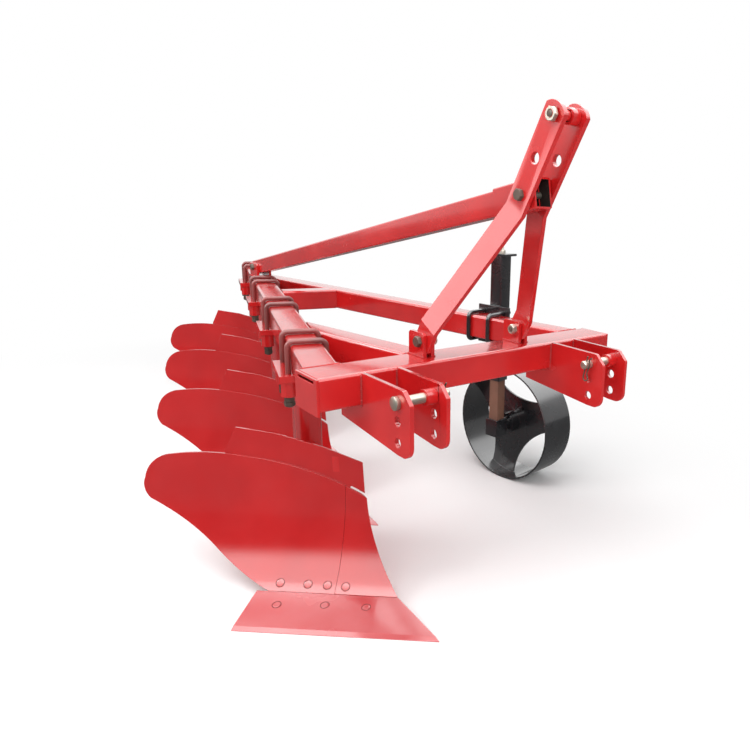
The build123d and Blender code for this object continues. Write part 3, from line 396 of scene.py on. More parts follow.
SLOT_FINISH = {
    "red_paint": red_enamel,
    "red_blade_paint": blade_enamel,
    "dull_bolt_steel": bolt_red,
    "zinc_steel": zinc,
    "black_paint": black_enamel,
    "rusty_steel": rust_bar,
}
SLOT_OF = {part["node"]: part["material_slot"] for part in frame["record"]["subparts"]}
for name, slot_name in SLOT_OF.items():
    nodes[name].data.materials.clear()
    nodes[name].data.materials.append(SLOT_FINISH[slot_name])
print("materials on", len(nodes), "nodes")

# %% [markdown]
# Every piece of the picture ends the same way: smooth faces with sharp edges where they turn, its
# paint, the body that it moves with, and the node that it stands for hidden.

# %% How a piece is finished
SHARP = math.radians(36)
FOLD = math.radians(3)
FLAT = math.radians(0.6)
SAME_PLACE = 0.02 * MM
BODY_OF = {}
for body, members in frame["record"]["behaviour"]["bodies"].items():
    for member in members:
        BODY_OF[member] = body


def settle(made, body, slot_name, *instead, paint=None):
    """Shades a piece, paints it, ties it to its body and hides the nodes it stands for."""
    mesh = made.data
    mesh.name = made.name
    mesh.polygons.foreach_set("use_smooth", [True] * len(mesh.polygons))
    mesh.set_sharp_from_angle(angle=SHARP)
    if paint:
        mesh.materials.clear()
        mesh.materials.append(paint)
    elif not mesh.materials:
        mesh.materials.append(SLOT_FINISH[slot_name])
    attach(made, body)
    if instead:
        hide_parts(*instead)
    return made


def stand_in(name, mesh, slot_name=None, paint=None):
    """Object with this mesh that stands for a node, on the node's own body."""
    made = link_object(name + "_finish", mesh)
    return settle(made, BODY_OF[name], slot_name or SLOT_OF[name], name, paint=paint)


def soften(made, width):
    """Small rounded edge, as cut and painted plate has."""
    edge = made.modifiers.new("edge", "BEVEL")
    edge.width = width
    edge.segments = 2
    edge.limit_method = "ANGLE"
    edge.angle_limit = SHARP
    edge.harden_normals = True


def clean_copy(name):
    """Mesh of a node with its corners joined and its flat faces whole."""
    mesh = nodes[name].data.copy()
    work = bmesh.new()
    work.from_mesh(mesh)
    bmesh.ops.remove_doubles(work, verts=work.verts, dist=SAME_PLACE)
    bmesh.ops.dissolve_limit(work, angle_limit=FLAT, verts=work.verts, edges=work.edges)
    bmesh.ops.recalc_face_normals(work, faces=work.faces)
    work.to_mesh(mesh)
    work.free()
    return mesh


def dressed(name, width):
    """Stands for a node: the same shape with softened edges."""
    made = stand_in(name, clean_copy(name), paint=share_enamel if name.startswith("share") else None)
    if name.startswith("mast_bar"):
        made.data.set_sharp_from_angle(angle=FOLD)
    soften(made, width)
    return made


EDGES = {
    "cross_beam": 0.8, "cross_beam_end_plates": 1.0, "main_beam": 0.8, "side_beam": 0.8,
    "cross_tie": 0.8, "inner_brace": 0.8, "mast_bar_left": 1.4, "mast_bar_right": 1.4,
    "mast_lugs": 1.2, "strut": 0.8, "strut_lugs": 1.2, "wheel_clamp_plate": 1.2,
    "wheel_leg_tube": 1.2, "gauge_wheel": 1.2,
}
for k in range(1, 5):
    EDGES[f"hitch_plate_{k}"] = 1.4
    EDGES[f"shank_{k}"] = 1.4
    EDGES[f"frog_{k}"] = 1.0
    EDGES[f"landside_{k}"] = 1.2
    EDGES[f"share_{k}"] = 0.5
pieces = {name: dressed(name, width * MM) for name, width in EDGES.items()}


TUBE_REACH = 150 * MM


def darken_inside(made):
    """Painted shade: near-black on the faces of a tube that look at its opposite wall."""
    mesh = made.data
    mesh.materials.append(tube_inside)
    corners = [v.co for v in mesh.vertices]
    walls = BVHTree.FromPolygons(corners, [tuple(p.vertices) for p in mesh.polygons])
    for polygon in mesh.polygons:
        just_off = polygon.center + polygon.normal * 0.1 * MM
        met = walls.ray_cast(just_off, polygon.normal, TUBE_REACH)
        if met[0] is not None:
            polygon.material_index = 1


darken_inside(pieces["strut"])
darken_inside(pieces["cross_beam"])
print(len(EDGES), "nodes have softened copies")

# %% [markdown]
# The mouldboard is the hardest shape of a plough. Its face is one curve swept along the cutting
# edge, so it is drawn flat first, as distance along the edge and height, and then every point is
# lifted onto the curve. Front and back are the same outline at two depths.

# %% Mouldboards and shins
CUT_ANGLE = math.radians(45.2)
EDGE_ALONG = Vector((-math.sin(CUT_ANGLE), math.cos(CUT_ANGLE), 0))
EDGE_IN = Vector((math.cos(CUT_ANGLE), math.sin(CUT_ANGLE), 0))
SEAM_IN = 128
SEAM_RISE = 23
CURVE_RADIUS = 316
SLOPE_LOW = math.radians(42)
SLOPE_HIGH = math.radians(86)
CURVE_IN = SEAM_IN - CURVE_RADIUS * math.sin(SLOPE_LOW)
CURVE_RISE = SEAM_RISE + CURVE_RADIUS * math.cos(SLOPE_LOW)
BEND_TOP = CURVE_RISE - CURVE_RADIUS * math.cos(SLOPE_HIGH)
BOARD_PLATE = 6
SHIN_SEAM = 286
SEAM_GAP = 0.5
STRIP_ANGLE = math.radians(2)


def slope_at(rise):
    """Slope of the working face at this height."""
    if rise >= BEND_TOP:
        return SLOPE_HIGH
    return math.acos(min(1, (CURVE_RISE - rise) / CURVE_RADIUS))


def face_place(along, rise, behind):
    """(along, in, height) in millimetres from the nose, kept off the land side."""
    slope = slope_at(rise)
    inward = CURVE_IN + (CURVE_RADIUS + behind) * math.sin(slope)
    height = CURVE_RISE - (CURVE_RADIUS + behind) * math.cos(slope)
    if rise > BEND_TOP:
        inward += (rise - BEND_TOP) / math.tan(SLOPE_HIGH)
        height += rise - BEND_TOP
    along = max(along, inward / math.tan(CUT_ANGLE))
    return along, inward, height


def nose_of(number):
    """Tip of a share, on the floor."""
    low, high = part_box(f"share_{number}")
    return Vector((high.x, low.y, low.z))


def face_point(nose, along, rise, behind=0.0):
    """Place in the scene of a point of the working face."""
    along, inward, height = face_place(along, rise, behind)
    return nose + (EDGE_ALONG * along + EDGE_IN * inward + UP * height) * MM


def arc_through(start, middle, end, steps):
    """Points on the circle through three points, without the first."""
    (ax, ay), (bx, by), (cx, cy) = start, middle, end
    d = 2 * (ax * (by - cy) + bx * (cy - ay) + cx * (ay - by))
    ux = ((ax**2 + ay**2) * (by - cy) + (bx**2 + by**2) * (cy - ay) + (cx**2 + cy**2) * (ay - by)) / d
    uy = ((ax**2 + ay**2) * (cx - bx) + (bx**2 + by**2) * (ax - cx) + (cx**2 + cy**2) * (bx - ax)) / d
    radius = math.hypot(ax - ux, ay - uy)
    first = math.atan2(ay - uy, ax - ux)
    sweep = (math.atan2(cy - uy, cx - ux) - first + math.pi) % (2 * math.pi) - math.pi
    turns = [first + sweep * (k + 1) / steps for k in range(steps)]
    return [(ux + radius * math.cos(t), uy + radius * math.sin(t)) for t in turns]


def land_edge(low, high):
    """The board's edge on the land side, as (along, rise) from low to high."""
    slopes = [slope_at(low) + k * STRIP_ANGLE / 2 for k in range(200)]
    rises = [CURVE_RISE - CURVE_RADIUS * math.cos(s) for s in slopes if s < SLOPE_HIGH]
    rises = [low] + [r for r in rises if low + 1 < r < high - 1] + [high]
    return [(face_place(0, rise, 0)[0], rise) for rise in rises]


TOP_EDGE = arc_through((228, 236), (378, 300), (540, 331), 24)
left_of_seam = [p for p in TOP_EDGE if p[0] < SHIN_SEAM - 4]
right_of_seam = [p for p in TOP_EDGE if p[0] > SHIN_SEAM + 4]
before, after = left_of_seam[-1], right_of_seam[0]
part_way = (SHIN_SEAM - before[0]) / (after[0] - before[0])
seam_top = before[1] + part_way * (after[1] - before[1])
SHIN_OUTLINE = land_edge(SEAM_RISE, 236) + left_of_seam + [(SHIN_SEAM, seam_top), (SHIN_SEAM, SEAM_RISE)]
BOARD_OUTLINE = (
    [(SHIN_SEAM + SEAM_GAP, SEAM_RISE), (SHIN_SEAM + SEAM_GAP, seam_top)]
    + right_of_seam
    + arc_through((540, 331), (640, 337), (733, 328), 16)
    + arc_through((733, 328), (783, 303), (803, 262), 12)
    + arc_through((803, 262), (806, 233), (790, 207), 8)
    + arc_through((790, 207), (690, 153), (600, 93), 12)
    + arc_through((600, 93), (520, 48), (451, SEAM_RISE), 12)
)


# The trashboard's lower edge is tucked behind the board's top edge.
TUCK = 6.4
TRASH_OUTLINE = [
    (597, 342), (569, 405), (466, 394), (344, 364), (237, 329), (229, 246),
    (272, 264), (284, 252), (378, 286), (460, 304), (540, 317), (597, 322),
]


def board_mesh(outline, nose, behind=0.0):
    """Closed plate with this outline, bent onto the working face."""
    work = bmesh.new()
    corners = [work.verts.new((along, rise, 0)) for along, rise in outline]
    work.faces.new(corners)
    slope = SLOPE_LOW + STRIP_ANGLE
    while slope < SLOPE_HIGH + 0.001:
        rise = CURVE_RISE - CURVE_RADIUS * math.cos(slope)
        everything = work.verts[:] + work.edges[:] + work.faces[:]
        bmesh.ops.bisect_plane(work, geom=everything, plane_co=(0, rise, 0), plane_no=(0, 1, 0), dist=0.01)
        slope += STRIP_ANGLE
    bmesh.ops.remove_doubles(work, verts=work.verts, dist=0.3)
    work.verts.index_update()
    flat = [(v.co.x, v.co.y) for v in work.verts]
    fronts = [[v.index for v in face.verts] for face in work.faces]
    rim = [[v.index for v in edge.verts] for edge in work.edges if len(edge.link_faces) == 1]
    work.free()
    points = [face_point(nose, *p, behind) for p in flat]
    points += [face_point(nose, *p, behind + BOARD_PLATE) for p in flat]
    shift = len(flat)
    faces = fronts + [[i + shift for i in reversed(face)] for face in fronts]
    faces += [[a, b, b + shift, a + shift] for a, b in rim]
    return closed_mesh(points, faces)


def closed_mesh(points, faces):
    """Mesh with all its faces turned outwards."""
    mesh = bpy.data.meshes.new("piece")
    mesh.from_pydata([tuple(p) for p in points], [], faces)
    work = bmesh.new()
    work.from_mesh(mesh)
    bmesh.ops.remove_doubles(work, verts=work.verts, dist=1e-6)
    bmesh.ops.recalc_face_normals(work, faces=work.faces)
    work.to_mesh(mesh)
    work.free()
    return mesh


BOARDS = (("mouldboard", BOARD_OUTLINE, 0), ("shin", SHIN_OUTLINE, 0), ("trashboard", TRASH_OUTLINE, TUCK))
for k in range(1, 5):
    for part, outline, behind in BOARDS:
        name = f"{part}_{k}"
        soften(stand_in(name, board_mesh(outline, nose_of(k), behind)), 0.9 * MM)
print("boards bent onto the curve, seam top at", round(seam_top, 1))

# %% [markdown]
# Round bar is a chain of rings. A pin needs two of them and a chamfer, a U-bolt needs a ring at
# every few degrees of its bends, and the thread on its ends is the same chain with the radius
# going in and out.

# %% Round bars
ROUND = 24


def ring_frame(ahead):
    """Two directions square to this one."""
    side = ahead.cross(UP) if abs(ahead.z) < 0.9 else ahead.cross(Vector((0, 1, 0)))
    side.normalize()
    return side, side.cross(ahead).normalized()


def bar_mesh(stops, segments=ROUND):
    """Round bar through (place, radius) stops."""
    places = [place for place, radius in stops]
    points = []
    side = None
    for index, (place, radius) in enumerate(stops):
        before = places[max(index - 1, 0)]
        after = places[min(index + 1, len(places) - 1)]
        ahead = (after - before).normalized()
        if side is None:
            side = ring_frame(ahead)[0]
        side = (side - ahead * side.dot(ahead)).normalized()
        other = side.cross(ahead).normalized()
        for step in range(segments):
            turn = 2 * math.pi * step / segments
            points.append(place + (side * math.cos(turn) + other * math.sin(turn)) * radius)
    faces = [list(range(segments)), list(range(len(points) - segments, len(points)))]
    for index in range(len(stops) - 1):
        for step in range(segments):
            a = index * segments + step
            b = index * segments + (step + 1) % segments
            faces.append([a, b, b + segments, a + segments])
    return closed_mesh(points, faces)


THREAD_PITCH = 2.0 * MM
THREAD_DEPTH = 0.9 * MM


def thread_stops(start, end, radius):
    """Threaded bar from start to end."""
    ahead = end - start
    count = max(int(ahead.length / THREAD_PITCH), 1)
    stops = []
    for index in range(count):
        stops.append((start + ahead * (index / count), radius))
        stops.append((start + ahead * ((index + 0.5) / count), radius - THREAD_DEPTH))
    return stops + [(end, radius - THREAD_DEPTH)]


def u_stops(ends, turns, radius, bend, thread):
    """Threaded U of round bar: from one end round two square turns to the other end."""
    first, last = ends
    near, far = turns
    down = (first - near).normalized()
    over = (far - near).normalized()
    stops = [(p, r) for p, r in reversed(thread_stops(first - down * thread, first, radius))]
    for corner, leave, enter in ((near, down, over), (far, -over, down)):
        centre = corner + (leave + enter) * bend
        for step in range(9):
            turn = math.pi / 2 * step / 8
            stops.append((centre - (enter * math.cos(turn) + leave * math.sin(turn)) * bend, radius))
    return stops + thread_stops(last - down * thread, last, radius)


def joined(meshes):
    """One mesh of several."""
    work = bmesh.new()
    for mesh in meshes:
        work.from_mesh(mesh)
        bpy.data.meshes.remove(mesh)
    mesh = bpy.data.meshes.new("joined")
    work.to_mesh(mesh)
    work.free()
    return mesh


CLAMP_RADIUS = 7 * MM
CLAMP_BEND = 16 * MM
CLAMP_SEGMENTS = 16
BEAM_THREAD = 29 * MM
LEG_THREAD = 24 * MM
ARM_ACROSS = 47.3 * MM
ARM_ALONG = 63 * MM
ARM_HIGH = 7.3 * MM
EAR_LOW = -133 * MM
ARM_LOW = -163 * MM


def clamp_arms(station):
    """The two arms of both U-bolts of a bottom, at the height of the tube tops."""
    for along in (-ARM_ALONG, ARM_ALONG):
        middle = BEAM_ZERO + MAIN_BACK * (station + along)
        yield middle - MAIN_RIGHT * ARM_ACROSS, middle + MAIN_RIGHT * ARM_ACROSS


def raised(place, z):
    """The place with this much added to its height."""
    return place + UP * z


for k, station in enumerate(BOTTOM_STATIONS, start=1):
    bars = []
    for arm_1, arm_2 in clamp_arms(station):
        ends = (raised(arm_1, ARM_LOW), raised(arm_2, ARM_LOW))
        turns = (raised(arm_1, ARM_HIGH), raised(arm_2, ARM_HIGH))
        bars.append(bar_mesh(u_stops(ends, turns, CLAMP_RADIUS, CLAMP_BEND, BEAM_THREAD), CLAMP_SEGMENTS))
    stand_in(f"u_bolts_{k}", joined(bars))

CROSS_LENGTH = 918
CROSS_BACK = 106
SIDE_INSET = 33
SIDE_WIDTH = 70
LEG_STATION = 320
LEG_CLAMP_ALONG = 42
LEG_CLAMP_NEAR = 42.3
LEG_CLAMP_FAR = 69
ARM_OVER, ARM_UNDER = 7.3 * MM, -82.3 * MM
side_joint = drawn(CROSS_LENGTH - SIDE_INSET - SIDE_WIDTH / math.cos(math.radians(SIDE_TURN)), CROSS_BACK, 0)
LEG_BASE = side_joint + (SIDE_RIGHT * SIDE_WIDTH / 2 + SIDE_BACK * LEG_STATION) * MM
bars = []
for along in (-LEG_CLAMP_ALONG, LEG_CLAMP_ALONG):
    base = LEG_BASE + SIDE_BACK * along * MM
    near, far = base - SIDE_RIGHT * LEG_CLAMP_NEAR * MM, base + SIDE_RIGHT * LEG_CLAMP_FAR * MM
    ends = (raised(far, ARM_OVER), raised(far, ARM_UNDER))
    turns = (raised(near, ARM_OVER), raised(near, ARM_UNDER))
    bars.append(bar_mesh(u_stops(ends, turns, CLAMP_RADIUS, CLAMP_BEND, LEG_THREAD), CLAMP_SEGMENTS))
stand_in("wheel_clamp_u_bolts", joined(bars))
print("U-bolts bent")

# %% [markdown]
# Pins and bolts are turned pieces. Each is written as its profile: how far along the axis, and how
# thick there. A bush is the same with a hole, so it is a closed ring.

# %% Pins, bolts and bushes
X = Vector((1, 0, 0))
PIN_Y, PIN_Z = -146, -30


def lathe(start, axis, profile):
    """Turned piece: the profile is (distance, radius) from the start, along the axis."""
    stops = [(start + axis * distance * MM, max(radius, 0.05) * MM) for distance, radius in profile]
    return bar_mesh(stops)


# The profile is drawn for a short pin; the longer pins have the difference in their middle.
PIN_LENGTH = 122
PIN_PROFILE = ((0, 12), (1.5, 15), (8.5, 15), (10, 14), (10.05, 11), (106.5, 11), (107, 9.4), (111, 9.4),
               (111.5, 11), (119, 11), (PIN_LENGTH, 8.5))
for name, head_x, axis, length in (("hitch_pin_right", 92, X, 134), ("hitch_pin_left", 787, -X, 135)):
    profile = [(d if d < PIN_LENGTH / 2 else d + length - PIN_LENGTH, r) for d, r in PIN_PROFILE]
    stand_in(name, lathe(drawn(head_x, PIN_Y, PIN_Z), axis, profile))


def tube_ring(start, axis, length, outer, inner):
    """Bush or washer: a turned ring."""
    profile = ((0, inner), (0, outer - 1), (0.6, outer), (length - 0.6, outer), (length, outer - 1),
               (length, inner))
    side, other = ring_frame(axis)
    points = []
    faces = []
    for step in range(ROUND):
        turn = 2 * math.pi * step / ROUND
        out = side * math.cos(turn) + other * math.sin(turn)
        points += [start + axis * d * MM + out * r * MM for d, r in profile]
    count = len(profile)
    for step in range(ROUND):
        here, following = step * count, (step + 1) % ROUND * count
        for j in range(count):
            faces.append([here + j, here + (j + 1) % count, following + (j + 1) % count, following + j])
    return closed_mesh(points, faces)


bushes = [tube_ring(drawn(x, PIN_Y, PIN_Z), X, 26, 18, 11.1) for x in (164, 741)]
stand_in("hitch_bushes", joined(bushes))

MAST_X = 453
MAST_LEAN = math.radians(29.6)
FOOT_Y, FOOT_Z = 57, 38
FOOT_SPREAD = 152
STRUT_HOLE = 406
TOP_HOLE = 594
BAR_OUT = 39.0


def mast_place(along, across=0.0):
    """Place on the mast: along its bars from the foot bolt, across from its middle."""
    y = FOOT_Y - along * math.sin(MAST_LEAN)
    z = FOOT_Z + along * math.cos(MAST_LEAN)
    return drawn(MAST_X + across, y, z)


def foot_place(side, across=0.0):
    """Place on the axis of a foot bolt: side is -1 or 1, across is from the middle of its lugs."""
    return drawn(MAST_X + side * FOOT_SPREAD + across, FOOT_Y, FOOT_Z)


def bolt_shank(middle, axis, reach):
    """Bolt of 16 mm without its head, chamfered at both ends, that reaches this far each way."""
    length = 2 * reach
    return lathe(middle - axis * reach * MM, axis, ((0, 6.5), (1.5, 8), (length - 1.5, 8), (length, 6.5)))


TOP_PIN_END = 52
TOP_PIN_FORWARD = Vector((0, -math.cos(MAST_LEAN), -math.sin(MAST_LEAN))) * 4 * MM
TOP_PIN_STUB = ((0, 7.5), (1.5, 9), (13, 9))
TOP_PIN_SHAFT = ((13, 11), (91, 11), (91.05, 16.5), (100, 16.5), (101, 15))
top_pin_end = mast_place(TOP_HOLE, -TOP_PIN_END) + TOP_PIN_FORWARD
stub = lathe(top_pin_end, X, TOP_PIN_STUB)
shaft = lathe(mast_place(TOP_HOLE, -TOP_PIN_END), X, TOP_PIN_SHAFT)
stand_in("mast_pin", joined([stub, shaft]), slot_name="red_paint", paint=red_enamel)

STRUT_STATION = 1762 * MM
STRUT_RISE = 40 * MM
STRUT_REAR = BEAM_ZERO + MAIN_BACK * STRUT_STATION + UP * STRUT_RISE
strut_run = STRUT_REAR - mast_place(STRUT_HOLE)
STRUT_LEVEL = Vector((strut_run.x, strut_run.y, 0)).normalized()
STRUT_SIDE = Vector((strut_run.y, -strut_run.x, 0)).normalized()
front_bolt = bolt_shank(mast_place(STRUT_HOLE), X, 47)
rear_bolt = bolt_shank(STRUT_REAR, STRUT_SIDE, 38.3)
stand_in("strut_bolts", joined([front_bolt, rear_bolt]))
stand_in("mast_foot_bolts", joined([bolt_shank(foot_place(side), X, 24.3) for side in (-1, 1)]))
print("pins turned")

# %% [markdown]
# Nuts, bolt heads and washers repeat, so each is drawn once and Geometry Nodes puts it on a list of
# points. Every point carries the direction that it faces. The spin about that direction is random
# with a fixed seed, as no two nuts are tightened to the same angle.

# %% One node group that puts a piece on points
SPIN_SEED = 3
HEX_STEPS = 48
HEX_ROUND = 0.97
HEX_SHOULDER = 0.82


def new_group(name, inputs):
    """Node group with these (label, kind) inputs; returns it with its input and output nodes."""
    group = bpy.data.node_groups.new(name, "GeometryNodeTree")
    for label, kind in inputs:
        group.interface.new_socket(label, in_out="INPUT", socket_type="NodeSocket" + kind)
    group.interface.new_socket("Geometry", in_out="OUTPUT", socket_type="NodeSocketGeometry")
    return group, group.nodes.new("NodeGroupInput"), group.nodes.new("NodeGroupOutput")


def number_socket(sockets, name="Value"):
    """The plain number among sockets that share a name."""
    return [s for s in sockets if s.name == name and s.type == "VALUE"][0]


def finish_instances(group, instances, into, out):
    """Ends a group: instances made real, in the material of its Finish input."""
    real = group.nodes.new("GeometryNodeRealizeInstances")
    finish = group.nodes.new("GeometryNodeSetMaterial")
    group.links.new(instances, real.inputs["Geometry"])
    group.links.new(real.outputs["Geometry"], finish.inputs["Geometry"])
    group.links.new(into.outputs["Finish"], finish.inputs["Material"])
    group.links.new(finish.outputs["Geometry"], out.inputs["Geometry"])


def piece_on_points():
    """Node group: an instance of Piece on every point, turned to its facing attribute."""
    group, into, out = new_group("piece_on_points", (
        ("Points", "Geometry"), ("Piece", "Object"), ("Spin", "Float"), ("Seed", "Int"),
        ("Finish", "Material"),
    ))
    new, link = group.nodes.new, group.links.new
    info = new("GeometryNodeObjectInfo")
    info.inputs["As Instance"].default_value = True
    facing = new("GeometryNodeInputNamedAttribute")
    facing.data_type = "FLOAT_VECTOR"
    facing.inputs["Name"].default_value = "facing"
    align = new("FunctionNodeAlignRotationToVector")
    align.axis = "Z"
    chance = new("FunctionNodeRandomValue")
    chance.data_type = "FLOAT"
    spin = new("FunctionNodeAxisAngleToRotation")
    spin.inputs["Axis"].default_value = (0, 0, 1)
    turned = new("FunctionNodeRotateRotation")
    turned.rotation_space = "LOCAL"
    place = new("GeometryNodeInstanceOnPoints")
    vector = [s for s in facing.outputs if s.name == "Attribute"][0]
    link(into.outputs["Piece"], info.inputs["Object"])
    link(vector, align.inputs["Vector"])
    link(into.outputs["Spin"], number_socket(chance.inputs, "Max"))
    link(into.outputs["Seed"], chance.inputs["Seed"])
    link(number_socket(chance.outputs), spin.inputs["Angle"])
    link(align.outputs["Rotation"], turned.inputs["Rotation"])
    link(spin.outputs["Rotation"], turned.inputs["Rotate By"])
    link(into.outputs["Points"], place.inputs["Points"])
    link(info.outputs["Geometry"], place.inputs["Instance"])
    link(turned.outputs["Rotation"], place.inputs["Rotation"])
    finish_instances(group, place.outputs["Instances"], into, out)
    return group


def bake(made, group, values):
    """Runs a node group on an object once and keeps the result as its mesh."""
    modifier = made.modifiers.new("nodes", "NODES")
    modifier.node_group = group
    for item in group.interface.items_tree:
        if item.name in values:
            modifier[item.identifier] = values[item.name]
    made.update_tag()
    graph = bpy.context.evaluated_depsgraph_get()
    graph.update()
    mesh = bpy.data.meshes.new_from_object(made.evaluated_get(graph))
    made.modifiers.clear()
    made.data = mesh


POINTS_GROUP = piece_on_points()


def put(name, piece_mesh, spots, paint, slot_name="zinc_steel", spin=1.0):
    """Puts a piece on (place, facing) spots and settles the result as one object of the frame."""
    mesh = bpy.data.meshes.new(name)
    mesh.from_pydata([tuple(place) for place, facing in spots], [], [])
    attribute = mesh.attributes.new("facing", "FLOAT_VECTOR", "POINT")
    for index, (place, facing) in enumerate(spots):
        attribute.data[index].vector = facing
    made = link_object(name, mesh)
    piece = link_object(name + "_one", piece_mesh)
    bake(made, POINTS_GROUP, {"Piece": piece, "Spin": spin, "Seed": SPIN_SEED, "Finish": paint})
    bpy.data.objects.remove(piece)
    settle(made, "frame", slot_name)


def hex_mesh(flats, height, bore=0.0):
    """Hexagon nut or head with its corners turned off, standing on its point."""
    count = HEX_STEPS
    circle = flats / 2 * HEX_ROUND
    rings = []
    for z, limit in ((0, None), (height * HEX_SHOULDER, None), (height, circle)):
        ring = []
        for step in range(count):
            turn = 2 * math.pi * step / count
            apart = (turn + math.pi / 6) % (math.pi / 3) - math.pi / 6
            radius = flats / 2 / math.cos(apart)
            ring.append((turn, min(radius, limit) if limit else radius, z))
        rings.append(ring)
    if bore:
        rings.append([(2 * math.pi * s / count, bore / 2 + 0.8, height) for s in range(count)])
        rings.append([(2 * math.pi * s / count, bore / 2, height - 1) for s in range(count)])
    points = [Vector((r * math.cos(t), r * math.sin(t), z)) * MM for ring in rings for t, r, z in ring]
    faces = [list(range(count))]
    for index in range(len(rings) - 1):
        for step in range(count):
            a, b = index * count + step, index * count + (step + 1) % count
            faces.append([a, b, b + count, a + count])
    faces.append(list(range(len(points) - count, len(points))))
    return closed_mesh(points, faces)


def washer_mesh(outer, inner, thick):
    """Flat washer standing on its point."""
    return tube_ring(Vector((0, 0, 0)), UP, thick, outer / 2, inner / 2)


print("node group made:", POINTS_GROUP.name)

# %% [markdown]
# Each bolt of the mast and strut has a head on one side and a nut on the other. The ears under the
# beam have a washer and two nuts to every arm.

# %% Nuts, heads and washers
EAR_WASHER = 2.5 * MM
EAR_NUT = 12.5 * MM
ear_spots = []
for station in BOTTOM_STATIONS:
    for arms in clamp_arms(station):
        ear_spots += [(raised(arm, EAR_LOW), -UP) for arm in arms]
put("ear_washers", washer_mesh(27, 15, 2.5), ear_spots, nut_brown)
ear_nuts = [(place + facing * EAR_WASHER, facing) for place, facing in ear_spots]
ear_nuts += [(place + facing * (EAR_WASHER + EAR_NUT), facing) for place, facing in ear_spots]
put("ear_nuts", hex_mesh(24, 12, 14), ear_nuts, nut_brown, spin=0.5)

CLAMP_PLATE_OUT = 43
plate_spots = []
for along in (-LEG_CLAMP_ALONG, LEG_CLAMP_ALONG):
    for z in (ARM_OVER, ARM_UNDER):
        spot = LEG_BASE + (SIDE_BACK * along + SIDE_RIGHT * CLAMP_PLATE_OUT) * MM + UP * z
        plate_spots.append((spot, SIDE_RIGHT))
put("wheel_clamp_nuts", hex_mesh(22, 12, 14), plate_spots, nut_brown)

LUG_OUT = 16.3
STRUT_LUG_OUT = 30.3 * MM
NUT_END = 13.2 * MM
heads = [
    (foot_place(-1, -LUG_OUT), -X),
    (foot_place(1, LUG_OUT), X),
    (mast_place(STRUT_HOLE, -BAR_OUT), -X),
    (STRUT_REAR - STRUT_SIDE * STRUT_LUG_OUT, -STRUT_SIDE),
]
nuts = [
    (foot_place(-1, LUG_OUT), X),
    (foot_place(1, -LUG_OUT), -X),
    (mast_place(STRUT_HOLE, BAR_OUT), X),
    (STRUT_REAR + STRUT_SIDE * STRUT_LUG_OUT, STRUT_SIDE),
]
nut_ends = [(place + facing * NUT_END, facing) for place, facing in nuts]
put("bolt_heads_16", hex_mesh(24, 10), heads, nut_brown)
put("nuts_16", hex_mesh(24, 13, 16), nuts, zinc)
put("nut_ends", washer_mesh(14.5, 1, 0.3), nut_ends, nut_brown)
put("mast_pin_nut", hex_mesh(28, 9, 17), [(mast_place(TOP_HOLE, -BAR_OUT - 4) + TOP_PIN_FORWARD, -X)], zinc)
put("mast_pin_end", washer_mesh(15.5, 1, 0.3), [(top_pin_end, -X)], nut_brown)
# A near-black disc round the top pin: painted shade in the hole that the pin passes through.
put("mast_hole", washer_mesh(25.4, 4, 0.3), [(mast_place(TOP_HOLE, -BAR_OUT), -X)], tube_inside, "red_paint")
bush = link_object("mast_bush", tube_ring(mast_place(TOP_HOLE, BAR_OUT - 36), X, 24, 18, 12.8))
settle(bush, "frame", "red_paint")

BOARD_BOLTS = ((427, 37), (357, 37), (308, 37), (262, 36))
SHARE_BOLTS = ((412, 16.5), (297, 17.5), (196, 17.5))
SHARE_BEVEL_IN, SHARE_BEVEL_RISE, SHARE_TOP_RISE = 12, 6.1, 23
share_slope = (SHARE_TOP_RISE - SHARE_BEVEL_RISE) / (SEAM_IN - SHARE_BEVEL_IN)
share_up = (UP - EDGE_IN * share_slope).normalized()
FLUSH_HEAD = ((0, 9.2), (0.2, 9.2), (0.35, 8.8), (0.38, 4), (0.38, 1))
board_spots, share_spots = [], []
for k in range(1, 5):
    nose = nose_of(k)
    for along, rise in BOARD_BOLTS:
        slope = slope_at(rise)
        out = EDGE_IN * -math.sin(slope) + UP * math.cos(slope)
        board_spots.append((face_point(nose, along, rise), out))
    for along, rise in SHARE_BOLTS:
        inward = SHARE_BEVEL_IN + (rise - SHARE_BEVEL_RISE) / share_slope
        share_spots.append((nose + (EDGE_ALONG * along + EDGE_IN * inward + UP * rise) * MM, share_up))
for name, spots, paint in (
    ("board_bolts", board_spots, blade_enamel),
    ("share_bolts", share_spots, share_enamel),
):
    put(name, lathe(Vector((0, 0, 0)), UP, FLUSH_HEAD), spots, paint, "red_blade_paint", spin=6.0)
    # A thin dark ring round each flush head: painted shade in its gap.
    put(name + "_rims", washer_mesh(22.4, 18.4, 0.2), spots, rim_red, "red_blade_paint")
print("fasteners placed")

# %% [markdown]
# A weld bead is a row of small overlapping drops. Geometry Nodes steps along a line and sets a
# drop at every few millimetres, each a little larger or smaller than the last.

# %% Weld beads
SMALLEST_DROP, LARGEST_DROP = 0.82, 1.15
DROP_RADIUS = 3.2 * MM
DROP_STEP = 0.7 * DROP_RADIUS
DROP_SEED = 5


